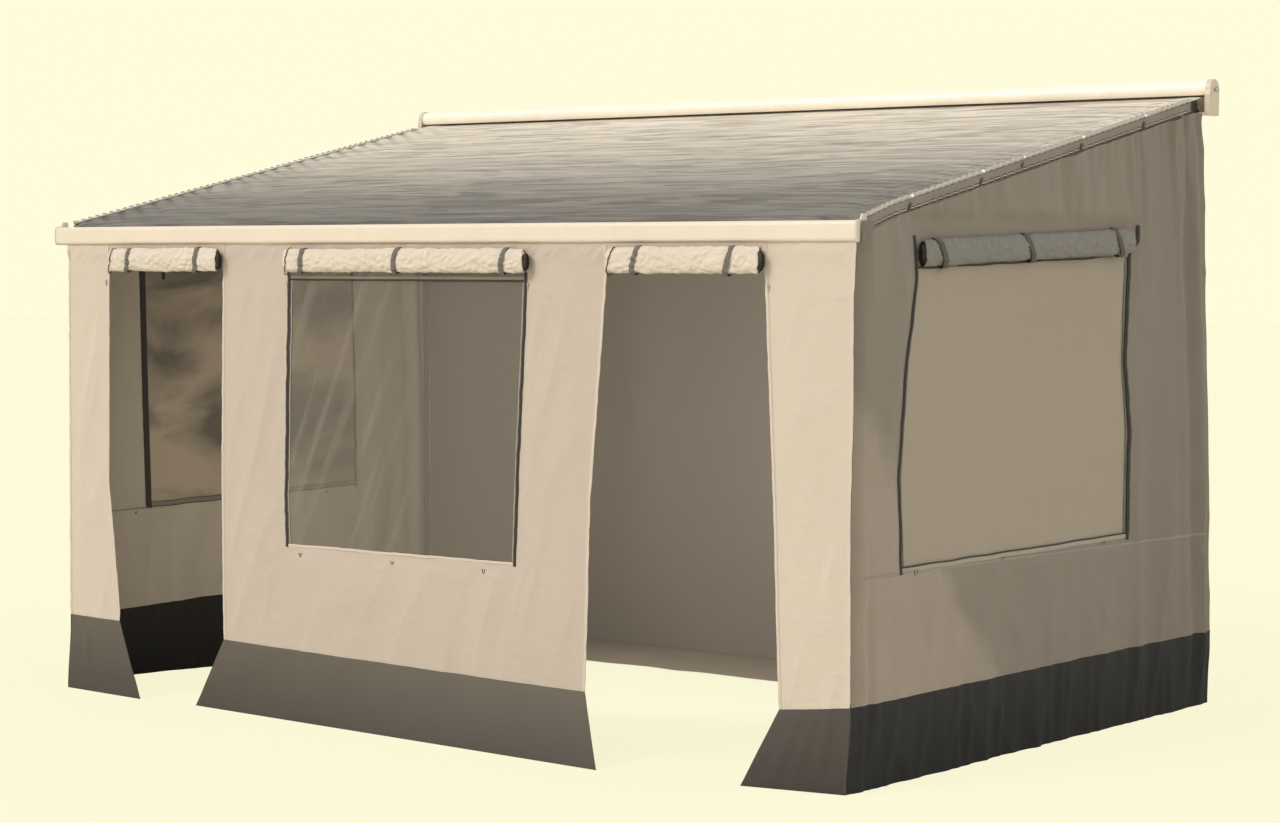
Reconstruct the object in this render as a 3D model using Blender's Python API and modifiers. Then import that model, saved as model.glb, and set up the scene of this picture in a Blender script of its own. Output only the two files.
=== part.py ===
"""An awning room: a wall case with its roller, a sloping canopy on a lead rail with two folding legs and
two rafters, and hung cloth walls with doors, windows and ground skirts. Metres, +Z up, front towards -Y."""

import math

import bmesh
import bpy
import numpy as np
from mathutils import Matrix, Vector

# Plan and heights. Depths are counted from the outer face of the front wall, towards the vehicle.
FRONT_WIDTH = 3.975  # outer faces of the side walls, at the front corners
REAR_WIDTH = 4.245  # the same at ROOM_DEPTH
ROOM_DEPTH = 2.50
ROOF_RISE = 0.5285  # of the canopy's top, over ROOM_DEPTH
SKIRT_REACH = 0.146  # how far the middle skirt's hem swings out at the right door

# Cloth
CLOTH = 0.003
FILM = 0.0015
GAP = 0.0003  # between pieces that touch

# Lead rail
RAIL_LENGTH = 4.074
RAIL_TOP = 1.986
RAIL_HEIGHT = 0.074
RAIL_DEPTH = 0.070
RAIL_PROUD = 0.015  # in front of the front wall
RAIL_WALL = 0.0022
RAIL_CORNER = 0.014
RAIL_CAP = 0.006
RAIL_CAP_RIM = 0.002
RAIL_CAP_HORN = 0.022
RAIL_HORN_BEHIND = 0.0315  # the horn's front, behind the rail's

# Case and roller
CASE_LENGTH = 4.290
CASE_RADIUS = 0.040
CASE_WALL = 0.0025
CASE_DROP = 0.105  # from the roller's axis to the underside
CASE_SHELF = 0.045  # the shelf's front edge, before the roller's axis
CASE_LIP = 0.010
CASE_SLOT = 0.012  # above the canopy
ROLLER_BEHIND = 0.036  # the roller's axis, behind ROOM_DEPTH
ROLLER_RADIUS = 0.027
ROLLER_WALL = 0.0018
ROLLER_END_PLAY = 0.004
CAP_THICK = 0.023
CAP_RIM = 0.003
CAP_COVER_RADIUS = 0.022
BEARING_LENGTH = 0.050
GEAR_LENGTH = 0.070
RUNNING_GAP = 0.0006
EYE_SHAFT = 0.005
EYE_RING = 0.0078
EYE_WIRE = 0.0024
BRACKET_WIDTH = 0.120
BRACKET_THICK = 0.012
BRACKET_FOOT = 0.034
BRACKET_FOOT_THICK = 0.006
BRACKET_ABOVE = 0.024  # over the roller's axis
BRACKET_X = 1.25

# Legs
LEG_INSET = 0.062  # from the side wall's outer face to the leg's axis, at the corner
LEG_BEHIND = 0.040
LEG_WIDE = 0.036
LEG_DEEP = 0.028
LEG_WALL = 0.002
LEG_CORNER = 0.004
PLUG_THICK = 0.012
LEG_UPPER_END = 1.100
LEG_LOWER_TOP = 1.400
LEG_FIT = 0.0006
LEG_PIVOT_DROP = 0.042  # below the rail
LEG_TUBE_DROP = 0.018  # below the pivot
TONGUE_THICK = 0.012
CHEEK_THICK = 0.003
CHEEK_REACH = 0.011
PIN_RADIUS = 0.004
PIN_FIT = 0.0006
COLLAR_HEIGHT = 0.060
COLLAR_WALL = 0.004
COLLAR_CORNER = 0.0065
COLLAR_LAP = 0.004  # below the tube's end
LEVER_LENGTH = 0.075
LEVER_WIDE = 0.016
LEVER_THICK = 0.007
LEVER_PIN = 0.0015
FOOT_LENGTH = 0.060
FOOT_DEEP = 0.052
FOOT_THICK = 0.008
FOOT_PIVOT = 0.030
ANKLE_DROP = 0.016  # from the tube's end to the foot's pin
ANKLE_REACH = 0.009
ANKLE_THICK = 0.010

# Rafters
RAFTER_TALL = 0.030
RAFTER_WIDE = 0.020
RAFTER_WALL = 0.0018
RAFTER_CORNER = 0.005
RAFTER_UNDER = 0.009  # between the canopy and the rafter
RAFTER_INSET = 0.010  # between the side wall's inner face and the rafter
RAFTER_OUTER = 1.450
RAFTER_INNER_START = 1.150
SOCKET_LENGTH = 0.030
SOCKET_WIDE = 0.026
SOCKET_BELOW = 0.036  # under the rafter's axis
SOCKET_ABOVE = 0.012
HOOK_TALL = 0.044
HOOK_WIDE = 0.034
HOOK_LENGTH = 0.100
HOOK_REACH = 0.012  # of its finger, past the case's shelf lip
HOOK_FINGER = 0.010

# Canopy and its edge strips
ROOF_LAP = 0.004  # past the roller's axis
STRIP_HEIGHT = 0.042
STRIP_START = 0.062
STRIP_END = ROOM_DEPTH - 0.090

# Skirts and seams
SIDE_SEAM = 0.305
LEFT_SEAM = (0.320, 0.314)
MIDDLE_SEAM = (0.287, 0.252)
RIGHT_SEAM = (0.272, 0.305)

# Front wall. Each upright edge is its (height, place along X), from the top down.
LEFT_DOOR_LEFT = ((1.800, -1.715), (0.900, -1.723), (0.770, -1.706), (0.380, -1.660))
LEFT_DOOR_RIGHT = ((1.790, -1.031), (0.940, -1.043), (0.285, -1.035))
RIGHT_DOOR_LEFT = ((1.790, 0.950), (0.965, 0.874), (0.254, 0.848))
RIGHT_DOOR_RIGHT = ((1.795, 1.652), (1.008, 1.687), (0.273, 1.711))
FRONT_WINDOW_LEFT = ((1.780, -0.652), (0.890, -0.675), (0.706, -0.668))
FRONT_WINDOW_RIGHT = ((1.780, 0.567), (0.954, 0.520), (0.705, 0.509))
FRONT_WINDOW_FOOT = 0.705
FRONT_WINDOW_HEAD = 1.812
# Where each skirt's hem ends along X, and how far it stands out there
LEFT_HEM_END = (-1.500, 0.034)
MIDDLE_HEM_START = (-1.194, 0.008)
MIDDLE_HEM_END = (1.012, SKIRT_REACH)
RIGHT_HEM_START = (1.598, 0.074)

# Side walls. Each upright edge is its (height, depth), from the top down.
LEFT_WINDOW_FRONT = ((1.930, 0.459), (1.777, 0.464), (1.220, 0.477), (0.750, 0.496))
LEFT_WINDOW_REAR = ((1.930, 1.894), (1.646, 1.896), (0.776, 1.911))
RIGHT_WINDOW_FRONT = (
    (1.930, 0.410),
    (1.763, 0.389),
    (1.484, 0.326),
    (1.268, 0.302),
    (1.044, 0.291),
    (0.763, 0.315),
)
RIGHT_WINDOW_REAR = ((1.930, 1.916), (1.679, 1.888), (1.426, 1.867), (1.172, 1.900), (0.758, 1.888))
SIDE_REAR_EDGE = tuple(
    (height, ROOM_DEPTH + behind)
    for height, behind in ((2.410, -0.027), (2.180, -0.013), (0.430, 0.065), (0.000, 0.072))
)
SIDE_WINDOW_FOOT = 0.760
SIDE_WINDOW_HEAD = 1.860

# Rolled blinds and doors
ROLL_RADIUS = 0.051  # half its height
ROLL_FLATNESS = 0.46  # a roll's depth over its height, pressed flat by the straps
ROLL_STEP = 0.004
ROLL_OFF_WALL = 0.0045
ROLL_DROP = 0.015  # from the rail to the front rolls' tops
STRAP_THICK = 0.0016
STRAP_WIDE = 0.026
TAPE_HEIGHT = 0.030
LEFT_DOOR_STRAPS = (-1.580, -1.175)
FRONT_WINDOW_STRAPS = (-0.572, -0.069, 0.472)
RIGHT_DOOR_STRAPS = (1.090, 1.505)
SIDE_STRAPS = (0.535, 1.124, 1.777)
SIDE_ROLL_START = (0.415, 1.872)  # depth and height of its axis
SIDE_ROLL_END = (1.922, 1.920)
SIDE_ROLL_RADIUS = 0.055
FRONT_ROLL_SPAN = (-0.685, 0.586)
ROLL_END_PLAY = 0.004

# Window panes, curtain, rear wall
PANE_LAP = 0.016
CURTAIN_LAP = 0.030
FLAP_WIDTH = 0.550
REAR_SIDE_PLAY = 0.006

# Folds of the hanging cloth
FRONT_FOLD = 0.006
FRONT_FOLD_PITCH = 0.42
SKIRT_WAVE = 0.0021
SIDE_FOLD = 0.009
SIDE_FOLD_PITCH = 0.27
ROOF_RIPPLE = 0.003
ROOF_RIPPLE_PITCH = 0.31
REAR_SWAY = 0.006
REAR_SWAY_PITCH = 0.60

# Zip sliders
SLIDER_LENGTH = 0.024
SLIDER_WIDE = 0.010
SLIDER_THICK = 0.004
SLIDER_HEIGHT = 1.762
SLIDER_OFF_EDGE = 0.014

ROUND_SEGMENTS = 32
STRAP_SEGMENTS = 24
SMALL_SEGMENTS = 16

# Worked out from the sizes above
ROOF_SLOPE = ROOF_RISE / ROOM_DEPTH
ROOF_STRETCH = math.hypot(1, ROOF_SLOPE)
SPLAY = (REAR_WIDTH - FRONT_WIDTH) / 2 / ROOM_DEPTH
RAIL_FOOT = RAIL_TOP - RAIL_HEIGHT
BEHIND_RAIL = RAIL_DEPTH - RAIL_PROUD + GAP
RAFTER_DROP = (CLOTH + RAFTER_UNDER + RAFTER_TALL / 2) * ROOF_STRETCH  # of its axis, below the canopy's top
ROLLER_DEPTH = ROOM_DEPTH + ROLLER_BEHIND
CASE_BACK = ROLLER_DEPTH + CASE_RADIUS
REAR_REACH = CASE_BACK + GAP + BRACKET_THICK
FRONT_Y = (SKIRT_REACH - REAR_REACH) / 2  # world Y of the front wall's outer face


def roof_top(depth):
    """Height of the canopy's top at a depth."""
    return RAIL_TOP + ROOF_SLOPE * depth


ROLLER_Z = roof_top(ROLLER_DEPTH) + (ROLLER_RADIUS + GAP) * ROOF_STRETCH
CASE_FOOT = ROLLER_Z - CASE_DROP
LEG_X = FRONT_WIDTH / 2 - LEG_INSET
LEG_Y = FRONT_Y + LEG_BEHIND
LEG_PIVOT_Z = RAIL_FOOT - LEG_PIVOT_DROP

for old in list(bpy.data.objects):
    bpy.data.objects.remove(old)

parts = bpy.data.collections.new("awning_room")
cutters = bpy.data.collections.new("cutters")
cutters.hide_render = True
bpy.context.scene.collection.children.link(parts)
bpy.context.scene.collection.children.link(cutters)


def material(name, colour, roughness, metallic=0.0):
    made = bpy.data.materials.new(name)
    made.use_nodes = True
    shader = made.node_tree.nodes["Principled BSDF"]
    shader.inputs["Base Color"].default_value = (*colour, 1)
    shader.inputs["Roughness"].default_value = roughness
    shader.inputs["Metallic"].default_value = metallic
    made.diffuse_color = (*colour, 1)
    return made


CREAM_PAINT = material("cream_paint", (0.86, 0.75, 0.60), 0.35)
BARE_ALLOY = material("bare_alloy", (0.62, 0.61, 0.58), 0.30, 1.0)
DARK_PLASTIC = material("dark_plastic", (0.035, 0.033, 0.030), 0.50)
WHITE_PLASTIC = material("white_plastic", (0.80, 0.76, 0.68), 0.40)
WALL_CLOTH = material("wall_cloth", (0.68, 0.58, 0.46), 0.85)
SHADE_CLOTH = material("shade_cloth", (0.25, 0.20, 0.15), 0.85)
SKIRT_CLOTH = material("skirt_cloth", (0.12, 0.10, 0.08), 0.60)
ROOF_CLOTH = material("roof_cloth", (0.42, 0.37, 0.31), 0.75)
STRAP_WEBBING = material("strap_webbing", (0.16, 0.13, 0.11), 0.80)
CLEAR_FILM = material("clear_film", (0.30, 0.27, 0.23), 0.10)
STEEL = material("steel", (0.55, 0.54, 0.52), 0.35, 1.0)


def add(name, mesh, look, home=parts):
    made = bpy.data.objects.new(name, mesh)
    home.objects.link(made)
    made.data.materials.clear()
    made.data.materials.append(look)
    return made


def mesh_of(name, bm):
    mesh = bpy.data.meshes.new(name)
    bm.to_mesh(mesh)
    bm.free()
    return mesh


def turned(axis):
    """Rotation that lays a flat outline's (first, second, thickness) directions for an extrusion along axis."""
    rows = {
        "X": ((0, 0, 1), (1, 0, 0), (0, 1, 0)),
        "Y": ((0, 1, 0), (0, 0, 1), (1, 0, 0)),
        "Z": ((1, 0, 0), (0, 1, 0), (0, 0, 1)),
    }
    return Matrix(rows[axis]).to_4x4()


def prism(name, outlines, length, look, centre=(0, 0, 0), axis="Z", frame=None, home=parts):
    """A flat outline, with any holes as further outlines, extruded along axis. Its points are (Y, Z) for
    axis X, (X, Z) for axis Y and (X, Y) for axis Z. A frame takes the place of centre and axis."""
    curve = bpy.data.curves.new(name, "CURVE")
    curve.dimensions = "2D"
    curve.fill_mode = "BOTH"
    curve.extrude = length / 2
    for outline in outlines:
        spline = curve.splines.new("POLY")
        spline.points.add(len(outline) - 1)
        for point, (first, second) in zip(spline.points, outline):
            if axis == "Y" and frame is None:
                first, second = second, first
            point.co = (first, second, 0, 1)
        spline.use_cyclic_u = True
    drawn = bpy.data.objects.new(name + "_outline", curve)
    cutters.objects.link(drawn)
    bpy.context.view_layer.update()
    graph = bpy.context.evaluated_depsgraph_get()
    mesh = bpy.data.meshes.new_from_object(drawn.evaluated_get(graph))
    bpy.data.objects.remove(drawn)
    bm = bmesh.new()
    bm.from_mesh(mesh)
    bmesh.ops.remove_doubles(bm, verts=bm.verts, dist=1e-6)
    bmesh.ops.recalc_face_normals(bm, faces=bm.faces)
    bm.to_mesh(mesh)
    bm.free()
    made = add(name, mesh, look, home)
    made.matrix_world = frame if frame is not None else Matrix.Translation(centre) @ turned(axis)
    return made


def box(name, low, high, look, bevel=0.0, home=parts):
    bm = bmesh.new()
    bmesh.ops.create_cube(bm, size=1)
    size = Vector(high) - Vector(low)
    bmesh.ops.scale(bm, vec=size, verts=bm.verts)
    made = add(name, mesh_of(name, bm), look, home)
    made.location = (Vector(low) + Vector(high)) / 2
    if bevel:
        edge = made.modifiers.new("edges", "BEVEL")
        edge.width = bevel
        edge.segments = 1
    return made


def combine(base, others, operation="UNION"):
    """Joins the others to base, or cuts them from it, and keeps them as hidden tools."""
    for other in others:
        change = base.modifiers.new(other.name, "BOOLEAN")
        change.operation = operation
        change.object = other
        change.solver = "EXACT"
        other.hide_render = True
        other.display_type = "WIRE"
    return base


def tool(name):
    return {"name": name + "_tool", "look": STEEL, "home": cutters}


def circle(radius, segments=ROUND_SEGMENTS, centre=(0, 0)):
    turn = 2 * math.pi / segments
    return [
        (centre[0] + radius * math.cos(turn * (k + 0.5)), centre[1] + radius * math.sin(turn * (k + 0.5)))
        for k in range(segments)
    ]


def arc(centre, radius, start, end, steps):
    """Points on an arc, with its angles in degrees."""
    angles = np.radians(np.linspace(start, end, steps + 1))
    return [(centre[0] + radius * math.cos(a), centre[1] + radius * math.sin(a)) for a in angles]


def rectangle(low, high, corner=0.0, steps=3):
    """A rectangle's outline, with round corners of the given radius."""
    if corner <= 0:
        return [low, (high[0], low[1]), high, (low[0], high[1])]
    points = []
    for x, y, start in (
        (high[0] - corner, low[1] + corner, -90),
        (high[0] - corner, high[1] - corner, 0),
        (low[0] + corner, high[1] - corner, 90),
        (low[0] + corner, low[1] + corner, 180),
    ):
        points += arc((x, y), corner, start, start + 90, steps)
    return points


def pivot(name, place, pieces, parent=None):
    """An empty on a joint's axis, which carries the pieces that move with it."""
    empty = bpy.data.objects.new(name, None)
    empty.location = place
    parts.objects.link(empty)
    bpy.context.view_layer.update()
    if parent is not None:
        empty.parent = parent
        empty.matrix_parent_inverse = parent.matrix_world.inverted()
    for piece in pieces:
        piece.parent = empty
        piece.matrix_parent_inverse = empty.matrix_world.inverted()
    return empty


def smooth(low, high, value):
    """0 below low, 1 above high, with a soft step between."""
    share = min(1.0, max(0.0, (value - low) / (high - low)))
    return share * share * (3 - 2 * share)


def edge(points):
    """A cloth edge from its (height, place) points: the place at a height."""
    rising = sorted(points)
    heights = [point[0] for point in rising]
    places = [point[1] for point in rising]
    return lambda height: float(np.interp(height, heights, places))


def steady(value):
    return lambda _: value


def grading(start, end, first, last):
    """A value that runs evenly from first to last between two places."""
    return lambda place: first + (last - first) * (place - start) / (end - start)


def cloth_grid(uprights, upright_steps, levels, level_steps):
    """(place, height) at every crossing of a net whose lines run between the given edges."""

    def lines(stops, steps):
        found = [(stop, share / count) for stop, count in enumerate(steps) for share in range(count)]
        return found + [(len(steps) - 1, 1.0)]

    def between(stops, line, at):
        first, share = line
        return stops[first](at) * (1 - share) + stops[first + 1](at) * share

    rows = []
    for level in lines(levels, level_steps):
        row = []
        for upright in lines(uprights, upright_steps):
            height = 1.0
            for _ in range(4):
                place = between(uprights, upright, height)
                height = between(levels, level, place)
            row.append((place, height))
        rows.append(row)
    return rows


def sheet(name, rows, place, push, look, hole=None):
    """A cloth sheet through a net of crossings. push is the way from its outer to its inner face. hole is the
    net's (first column, last column, first row, last row) that stays open."""
    across = len(rows[0])
    bm = bmesh.new()
    bmesh.ops.create_grid(bm, x_segments=across - 1, y_segments=len(rows) - 1, size=1)
    bm.verts.ensure_lookup_table()
    for number, vertex in enumerate(bm.verts):
        vertex.co = place(*rows[number // across][number % across])
    bm.verts.index_update()
    if hole:
        left, right, foot, head = hole
        inside = []
        for face in bm.faces:
            corner = min(vertex.index for vertex in face.verts)
            if left <= corner % across < right and foot <= corner // across < head:
                inside.append(face)
        bmesh.ops.delete(bm, geom=inside, context="FACES")
    grown = bmesh.ops.extrude_face_region(bm, geom=list(bm.faces))
    moved = [piece for piece in grown["geom"] if isinstance(piece, bmesh.types.BMVert)]
    bmesh.ops.translate(bm, vec=push, verts=moved)
    bmesh.ops.recalc_face_normals(bm, faces=bm.faces)
    made = add(name, mesh_of(name, bm), look)
    made.data.shade_smooth()
    made.data.set_sharp_from_angle(angle=math.radians(40))
    return made


def case_outline():
    """The case's section: a round top over the roller, a back, and a shelf with an upturned lip."""
    centre = (FRONT_Y + ROLLER_DEPTH, ROLLER_Z)
    slot_z = roof_top(ROOM_DEPTH) + CASE_SLOT
    lip = math.degrees(math.asin(max(-0.9, min(0.9, (ROLLER_Z - slot_z) / CASE_RADIUS))))
    back = FRONT_Y + CASE_BACK
    front = FRONT_Y + ROLLER_DEPTH - CASE_SHELF
    outer = arc(centre, CASE_RADIUS, 180 + lip, 0, 18)
    outer += [(back, CASE_FOOT), (front, CASE_FOOT), (front, CASE_FOOT + CASE_LIP)]
    inner = [(front + CASE_WALL, CASE_FOOT + CASE_LIP), (front + CASE_WALL, CASE_FOOT + CASE_WALL)]
    inner += [(back - CASE_WALL, CASE_FOOT + CASE_WALL)]
    inner += arc(centre, CASE_RADIUS - CASE_WALL, 0, 180 + lip, 18)
    return outer + inner


def case_end_outline(rim):
    """The end caps' section: the case's own, filled, and a little larger."""
    centre = (FRONT_Y + ROLLER_DEPTH, ROLLER_Z)
    front = FRONT_Y + ROLLER_DEPTH - CASE_SHELF - rim
    foot = CASE_FOOT - rim
    points = arc(centre, CASE_RADIUS + rim, 180, 0, 18)
    return points + [(FRONT_Y + CASE_BACK, foot), (front, foot), (front, ROLLER_Z - CASE_RADIUS / 2)]


def make_case():
    axis_y = FRONT_Y + ROLLER_DEPTH
    case_end = CASE_LENGTH / 2
    prism("case_housing", [case_outline()], CASE_LENGTH, CREAM_PAINT, axis="X")
    cap_x = case_end + GAP + CAP_THICK / 2
    boss_radius = ROLLER_RADIUS - ROLLER_WALL - RUNNING_GAP
    boss_end = case_end - BEARING_LENGTH
    eye_reach = 2 * (EYE_RING + EYE_WIRE)
    cap_face = case_end + GAP + CAP_THICK

    left = prism("case_cap_left", [case_end_outline(CAP_RIM)], CAP_THICK, WHITE_PLASTIC, (-cap_x, 0, 0), "X")
    boss = prism(
        outlines=[circle(boss_radius, centre=(axis_y, ROLLER_Z))],
        length=BEARING_LENGTH + CAP_THICK / 2,
        centre=(-(boss_end + case_end + CAP_THICK / 2) / 2, 0, 0),
        axis="X",
        **tool("left_bearing"),
    )
    cover = prism(
        outlines=[circle(CAP_COVER_RADIUS, 24, (axis_y, ROLLER_Z))],
        length=eye_reach + CAP_THICK / 2,
        centre=(-(cap_face + eye_reach / 2 - CAP_THICK / 4), 0, 0),
        axis="X",
        **tool("left_cover"),
    )
    combine(left, [boss, cover])

    right = prism("case_cap_right", [case_end_outline(CAP_RIM)], CAP_THICK, WHITE_PLASTIC, (cap_x, 0, 0), "X")
    bore = prism(
        outlines=[circle(EYE_SHAFT + RUNNING_GAP, SMALL_SEGMENTS, (axis_y, ROLLER_Z))],
        length=CAP_THICK * 2,
        centre=(cap_x, 0, 0),
        axis="X",
        **tool("right_bore"),
    )
    combine(right, [bore], "DIFFERENCE")

    gear_x = case_end - GEAR_LENGTH / 2
    prism(
        "winch_gear_cartridge",
        [
            circle(boss_radius, centre=(axis_y, ROLLER_Z)),
            circle(EYE_SHAFT + RUNNING_GAP, SMALL_SEGMENTS, (axis_y, ROLLER_Z)),
        ],
        GEAR_LENGTH,
        DARK_PLASTIC,
        (gear_x, 0, 0),
        "X",
    )

    roller = prism(
        "roller_tube",
        [
            circle(ROLLER_RADIUS, centre=(axis_y, ROLLER_Z)),
            circle(ROLLER_RADIUS - ROLLER_WALL, centre=(axis_y, ROLLER_Z)),
        ],
        CASE_LENGTH - 2 * ROLLER_END_PLAY,
        BARE_ALLOY,
        axis="X",
    )
    pivot("roller_axis", (0, axis_y, ROLLER_Z), [roller])

    shaft_start = case_end - GEAR_LENGTH + ROLLER_END_PLAY
    shaft_end = cap_face + 2 * EYE_WIRE
    eye = prism(
        "winch_eye",
        [circle(EYE_SHAFT, SMALL_SEGMENTS, (axis_y, ROLLER_Z))],
        shaft_end - shaft_start,
        STEEL,
        ((shaft_start + shaft_end) / 2, 0, 0),
        "X",
    )
    bpy.ops.mesh.primitive_torus_add(
        major_radius=EYE_RING,
        minor_radius=EYE_WIRE,
        major_segments=20,
        minor_segments=10,
        location=(cap_face + EYE_RING + EYE_WIRE, axis_y, ROLLER_Z),
        rotation=(math.pi / 2, 0, 0),
    )
    ring = bpy.context.object
    ring.name = "eye_ring_tool"
    for home in list(ring.users_collection):
        home.objects.unlink(ring)
    cutters.objects.link(ring)
    combine(eye, [ring])
    pivot("winch_axis", (cap_face, axis_y, ROLLER_Z), [eye])

    back = FRONT_Y + CASE_BACK + GAP
    foot = CASE_FOOT - GAP
    bracket = [
        (back, ROLLER_Z + BRACKET_ABOVE),
        (back + BRACKET_THICK, ROLLER_Z + BRACKET_ABOVE),
        (back + BRACKET_THICK, foot - BRACKET_FOOT_THICK),
        (back - BRACKET_FOOT, foot - BRACKET_FOOT_THICK),
        (back - BRACKET_FOOT, foot),
        (back, foot),
    ]
    for side, place in (("left", -BRACKET_X), ("right", BRACKET_X)):
        prism("wall_bracket_" + side, [bracket], BRACKET_WIDTH, BARE_ALLOY, (place, 0, 0), "X")


def make_rail():
    front = FRONT_Y - RAIL_PROUD
    back = front + RAIL_DEPTH
    body = RAIL_LENGTH - 2 * (RAIL_CAP + GAP)
    outer = rectangle((front, RAIL_FOOT), (back, RAIL_TOP), RAIL_CORNER)
    wall = RAIL_WALL
    inner = rectangle((front + wall, RAIL_FOOT + wall), (back - wall, RAIL_TOP - wall), RAIL_CORNER - wall)
    prism("lead_rail", [outer, inner], body, CREAM_PAINT, axis="X")
    rim = RAIL_CAP_RIM
    horn_front = front + RAIL_HORN_BEHIND
    cap = arc((front + RAIL_CORNER, RAIL_FOOT + RAIL_CORNER), RAIL_CORNER + rim, 270, 180, 3)
    cap += arc((front + RAIL_CORNER, RAIL_TOP - RAIL_CORNER), RAIL_CORNER + rim, 180, 90, 3)
    cap += [(horn_front, RAIL_TOP + rim), (horn_front + RAIL_CAP_HORN / 2, RAIL_TOP + RAIL_CAP_HORN)]
    cap += [(back, RAIL_TOP + RAIL_CAP_HORN), (back, RAIL_FOOT - rim)]
    for side, sign in (("left", -1), ("right", 1)):
        place = sign * (RAIL_LENGTH - RAIL_CAP) / 2
        prism("lead_rail_cap_" + side, [cap], RAIL_CAP, WHITE_PLASTIC, (place, 0, 0), "X")


def lug(centre, reach, base, facing):
    """A lug's outline: a round end about its pin, and sides that run to a base, at an angle in degrees."""
    turn = math.radians(facing)
    points = [(base, reach), *arc((0, 0), reach, 90, 270, 8), (base, -reach)]
    return [
        (
            centre[0] + first * math.cos(turn) - second * math.sin(turn),
            centre[1] + first * math.sin(turn) + second * math.cos(turn),
        )
        for first, second in points
    ]


def fork(name, centre, axis, gap, reach, base, facing, pin):
    """Two cheeks and the pin across them, as tools to join. gap is from the pin's middle to a cheek."""
    along = "XY".index(axis)
    flat = [centre[k] for k in range(3) if k != along]
    pieces = []
    for number, way in enumerate((-1, 1)):
        place = [0, 0, 0]
        place[along] = centre[along] + way * (gap + CHEEK_THICK / 2)
        outline = lug(flat, reach, base, facing)
        cheek = tool(f"{name}_{number}")
        pieces.append(prism(outlines=[outline], length=CHEEK_THICK, centre=place, axis=axis, **cheek))
    place = [0, 0, 0]
    place[along] = centre[along]
    outline = circle(pin, SMALL_SEGMENTS, flat)
    length = 2 * gap + CHEEK_THICK
    pieces.append(prism(outlines=[outline], length=length, centre=place, axis=axis, **tool(name + "_pin")))
    return pieces


def bored(piece, name, centre, axis, radius, length):
    """Cuts a pin's hole, along X or Y, from a piece."""
    along = "XY".index(axis)
    flat = [centre[k] for k in range(3) if k != along]
    place = [0, 0, 0]
    place[along] = centre[along]
    hole = prism(
        outlines=[circle(radius, SMALL_SEGMENTS, flat)], length=length, centre=place, axis=axis, **tool(name)
    )
    return combine(piece, [hole], "DIFFERENCE")


def make_leg_bracket(side, x):
    """The plate and fork under the rail that the leg folds in."""
    top = RAIL_FOOT - GAP
    low = (x - LEG_WIDE / 2, LEG_Y - LEG_DEEP / 2, top - CHEEK_THICK)
    high = (x + LEG_WIDE / 2, LEG_Y + LEG_DEEP / 2, top)
    plate = box("leg_bracket_" + side, low, high, BARE_ALLOY)
    base = top - CHEEK_THICK / 2 - LEG_PIVOT_Z
    gap = TONGUE_THICK / 2 + PIN_FIT
    combine(plate, fork(f"bracket_{side}", (x, LEG_Y, LEG_PIVOT_Z), "Y", gap, CHEEK_REACH, base, 90, PIN_RADIUS))


def make_upper_leg(name, x):
    """The outer tube, with its top tongue, its collar and the clamp lever's fork."""
    top = LEG_PIVOT_Z - LEG_TUBE_DROP
    low = (x - LEG_WIDE / 2, LEG_Y - LEG_DEEP / 2)
    high = (x + LEG_WIDE / 2, LEG_Y + LEG_DEEP / 2)

    def ring(out, corner, steps=2):
        return rectangle((low[0] - out, low[1] - out), (high[0] + out, high[1] + out), corner, steps)

    bite = LEG_WALL / 2
    tube = prism(
        name + "_upper_tube",
        [ring(0, LEG_CORNER), ring(-LEG_WALL, 0)],
        top - LEG_UPPER_END,
        BARE_ALLOY,
        (0, 0, (top + LEG_UPPER_END) / 2),
    )
    plug = prism(
        outlines=[ring(-bite, LEG_CORNER - bite)],
        length=PLUG_THICK,
        centre=(0, 0, top - bite - PLUG_THICK / 2),
        **tool(name + "_plug"),
    )
    tongue = prism(
        outlines=[lug((x, LEG_PIVOT_Z), CHEEK_REACH, LEG_TUBE_DROP + PLUG_THICK / 2, -90)],
        length=TONGUE_THICK,
        centre=(0, LEG_Y, 0),
        axis="Y",
        **tool(name + "_tongue"),
    )
    collar = prism(
        outlines=[ring(COLLAR_WALL, COLLAR_CORNER), ring(-bite, LEG_CORNER - bite)],
        length=COLLAR_HEIGHT,
        centre=(0, 0, LEG_UPPER_END + COLLAR_HEIGHT / 2 - COLLAR_LAP),
        **tool(name + "_collar"),
    )
    hinge = lever_hinge(x)
    ears = fork(name + "_lever", hinge, "X", LEVER_WIDE / 2 + PIN_FIT, LEVER_THICK / 2, LEVER_THICK, 180, LEVER_PIN)
    combine(tube, [plug, tongue, collar, *ears])
    return bored(tube, name + "_eye", (x, LEG_Y, LEG_PIVOT_Z), "Y", PIN_RADIUS + PIN_FIT, TONGUE_THICK * 2)


def lever_hinge(x):
    """The middle of the clamp lever's pin, behind the collar."""
    behind = LEG_DEEP / 2 + COLLAR_WALL + GAP + LEVER_THICK / 2
    return (x, LEG_Y + behind, LEG_UPPER_END + COLLAR_HEIGHT * 0.75)


def make_clamp_lever(name, x):
    """The cam lever that locks the leg's length."""
    _, y, z = lever_hinge(x)
    half = LEVER_THICK / 2
    bend = z - LEVER_LENGTH * 0.8
    outline = [
        (y + half, bend),
        (y + LEVER_THICK * 0.9, z - LEVER_LENGTH),
        (y + LEVER_THICK * 0.3, z - LEVER_LENGTH),
        (y - half, bend),
        *arc((y, z), half, 180, 0, 6),
    ]
    lever = prism(name + "_clamp_lever", [outline], LEVER_WIDE, DARK_PLASTIC, (x, 0, 0), "X")
    return bored(lever, name + "_lever_bore", lever_hinge(x), "X", LEVER_PIN + PIN_FIT, LEVER_WIDE * 2)


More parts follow.
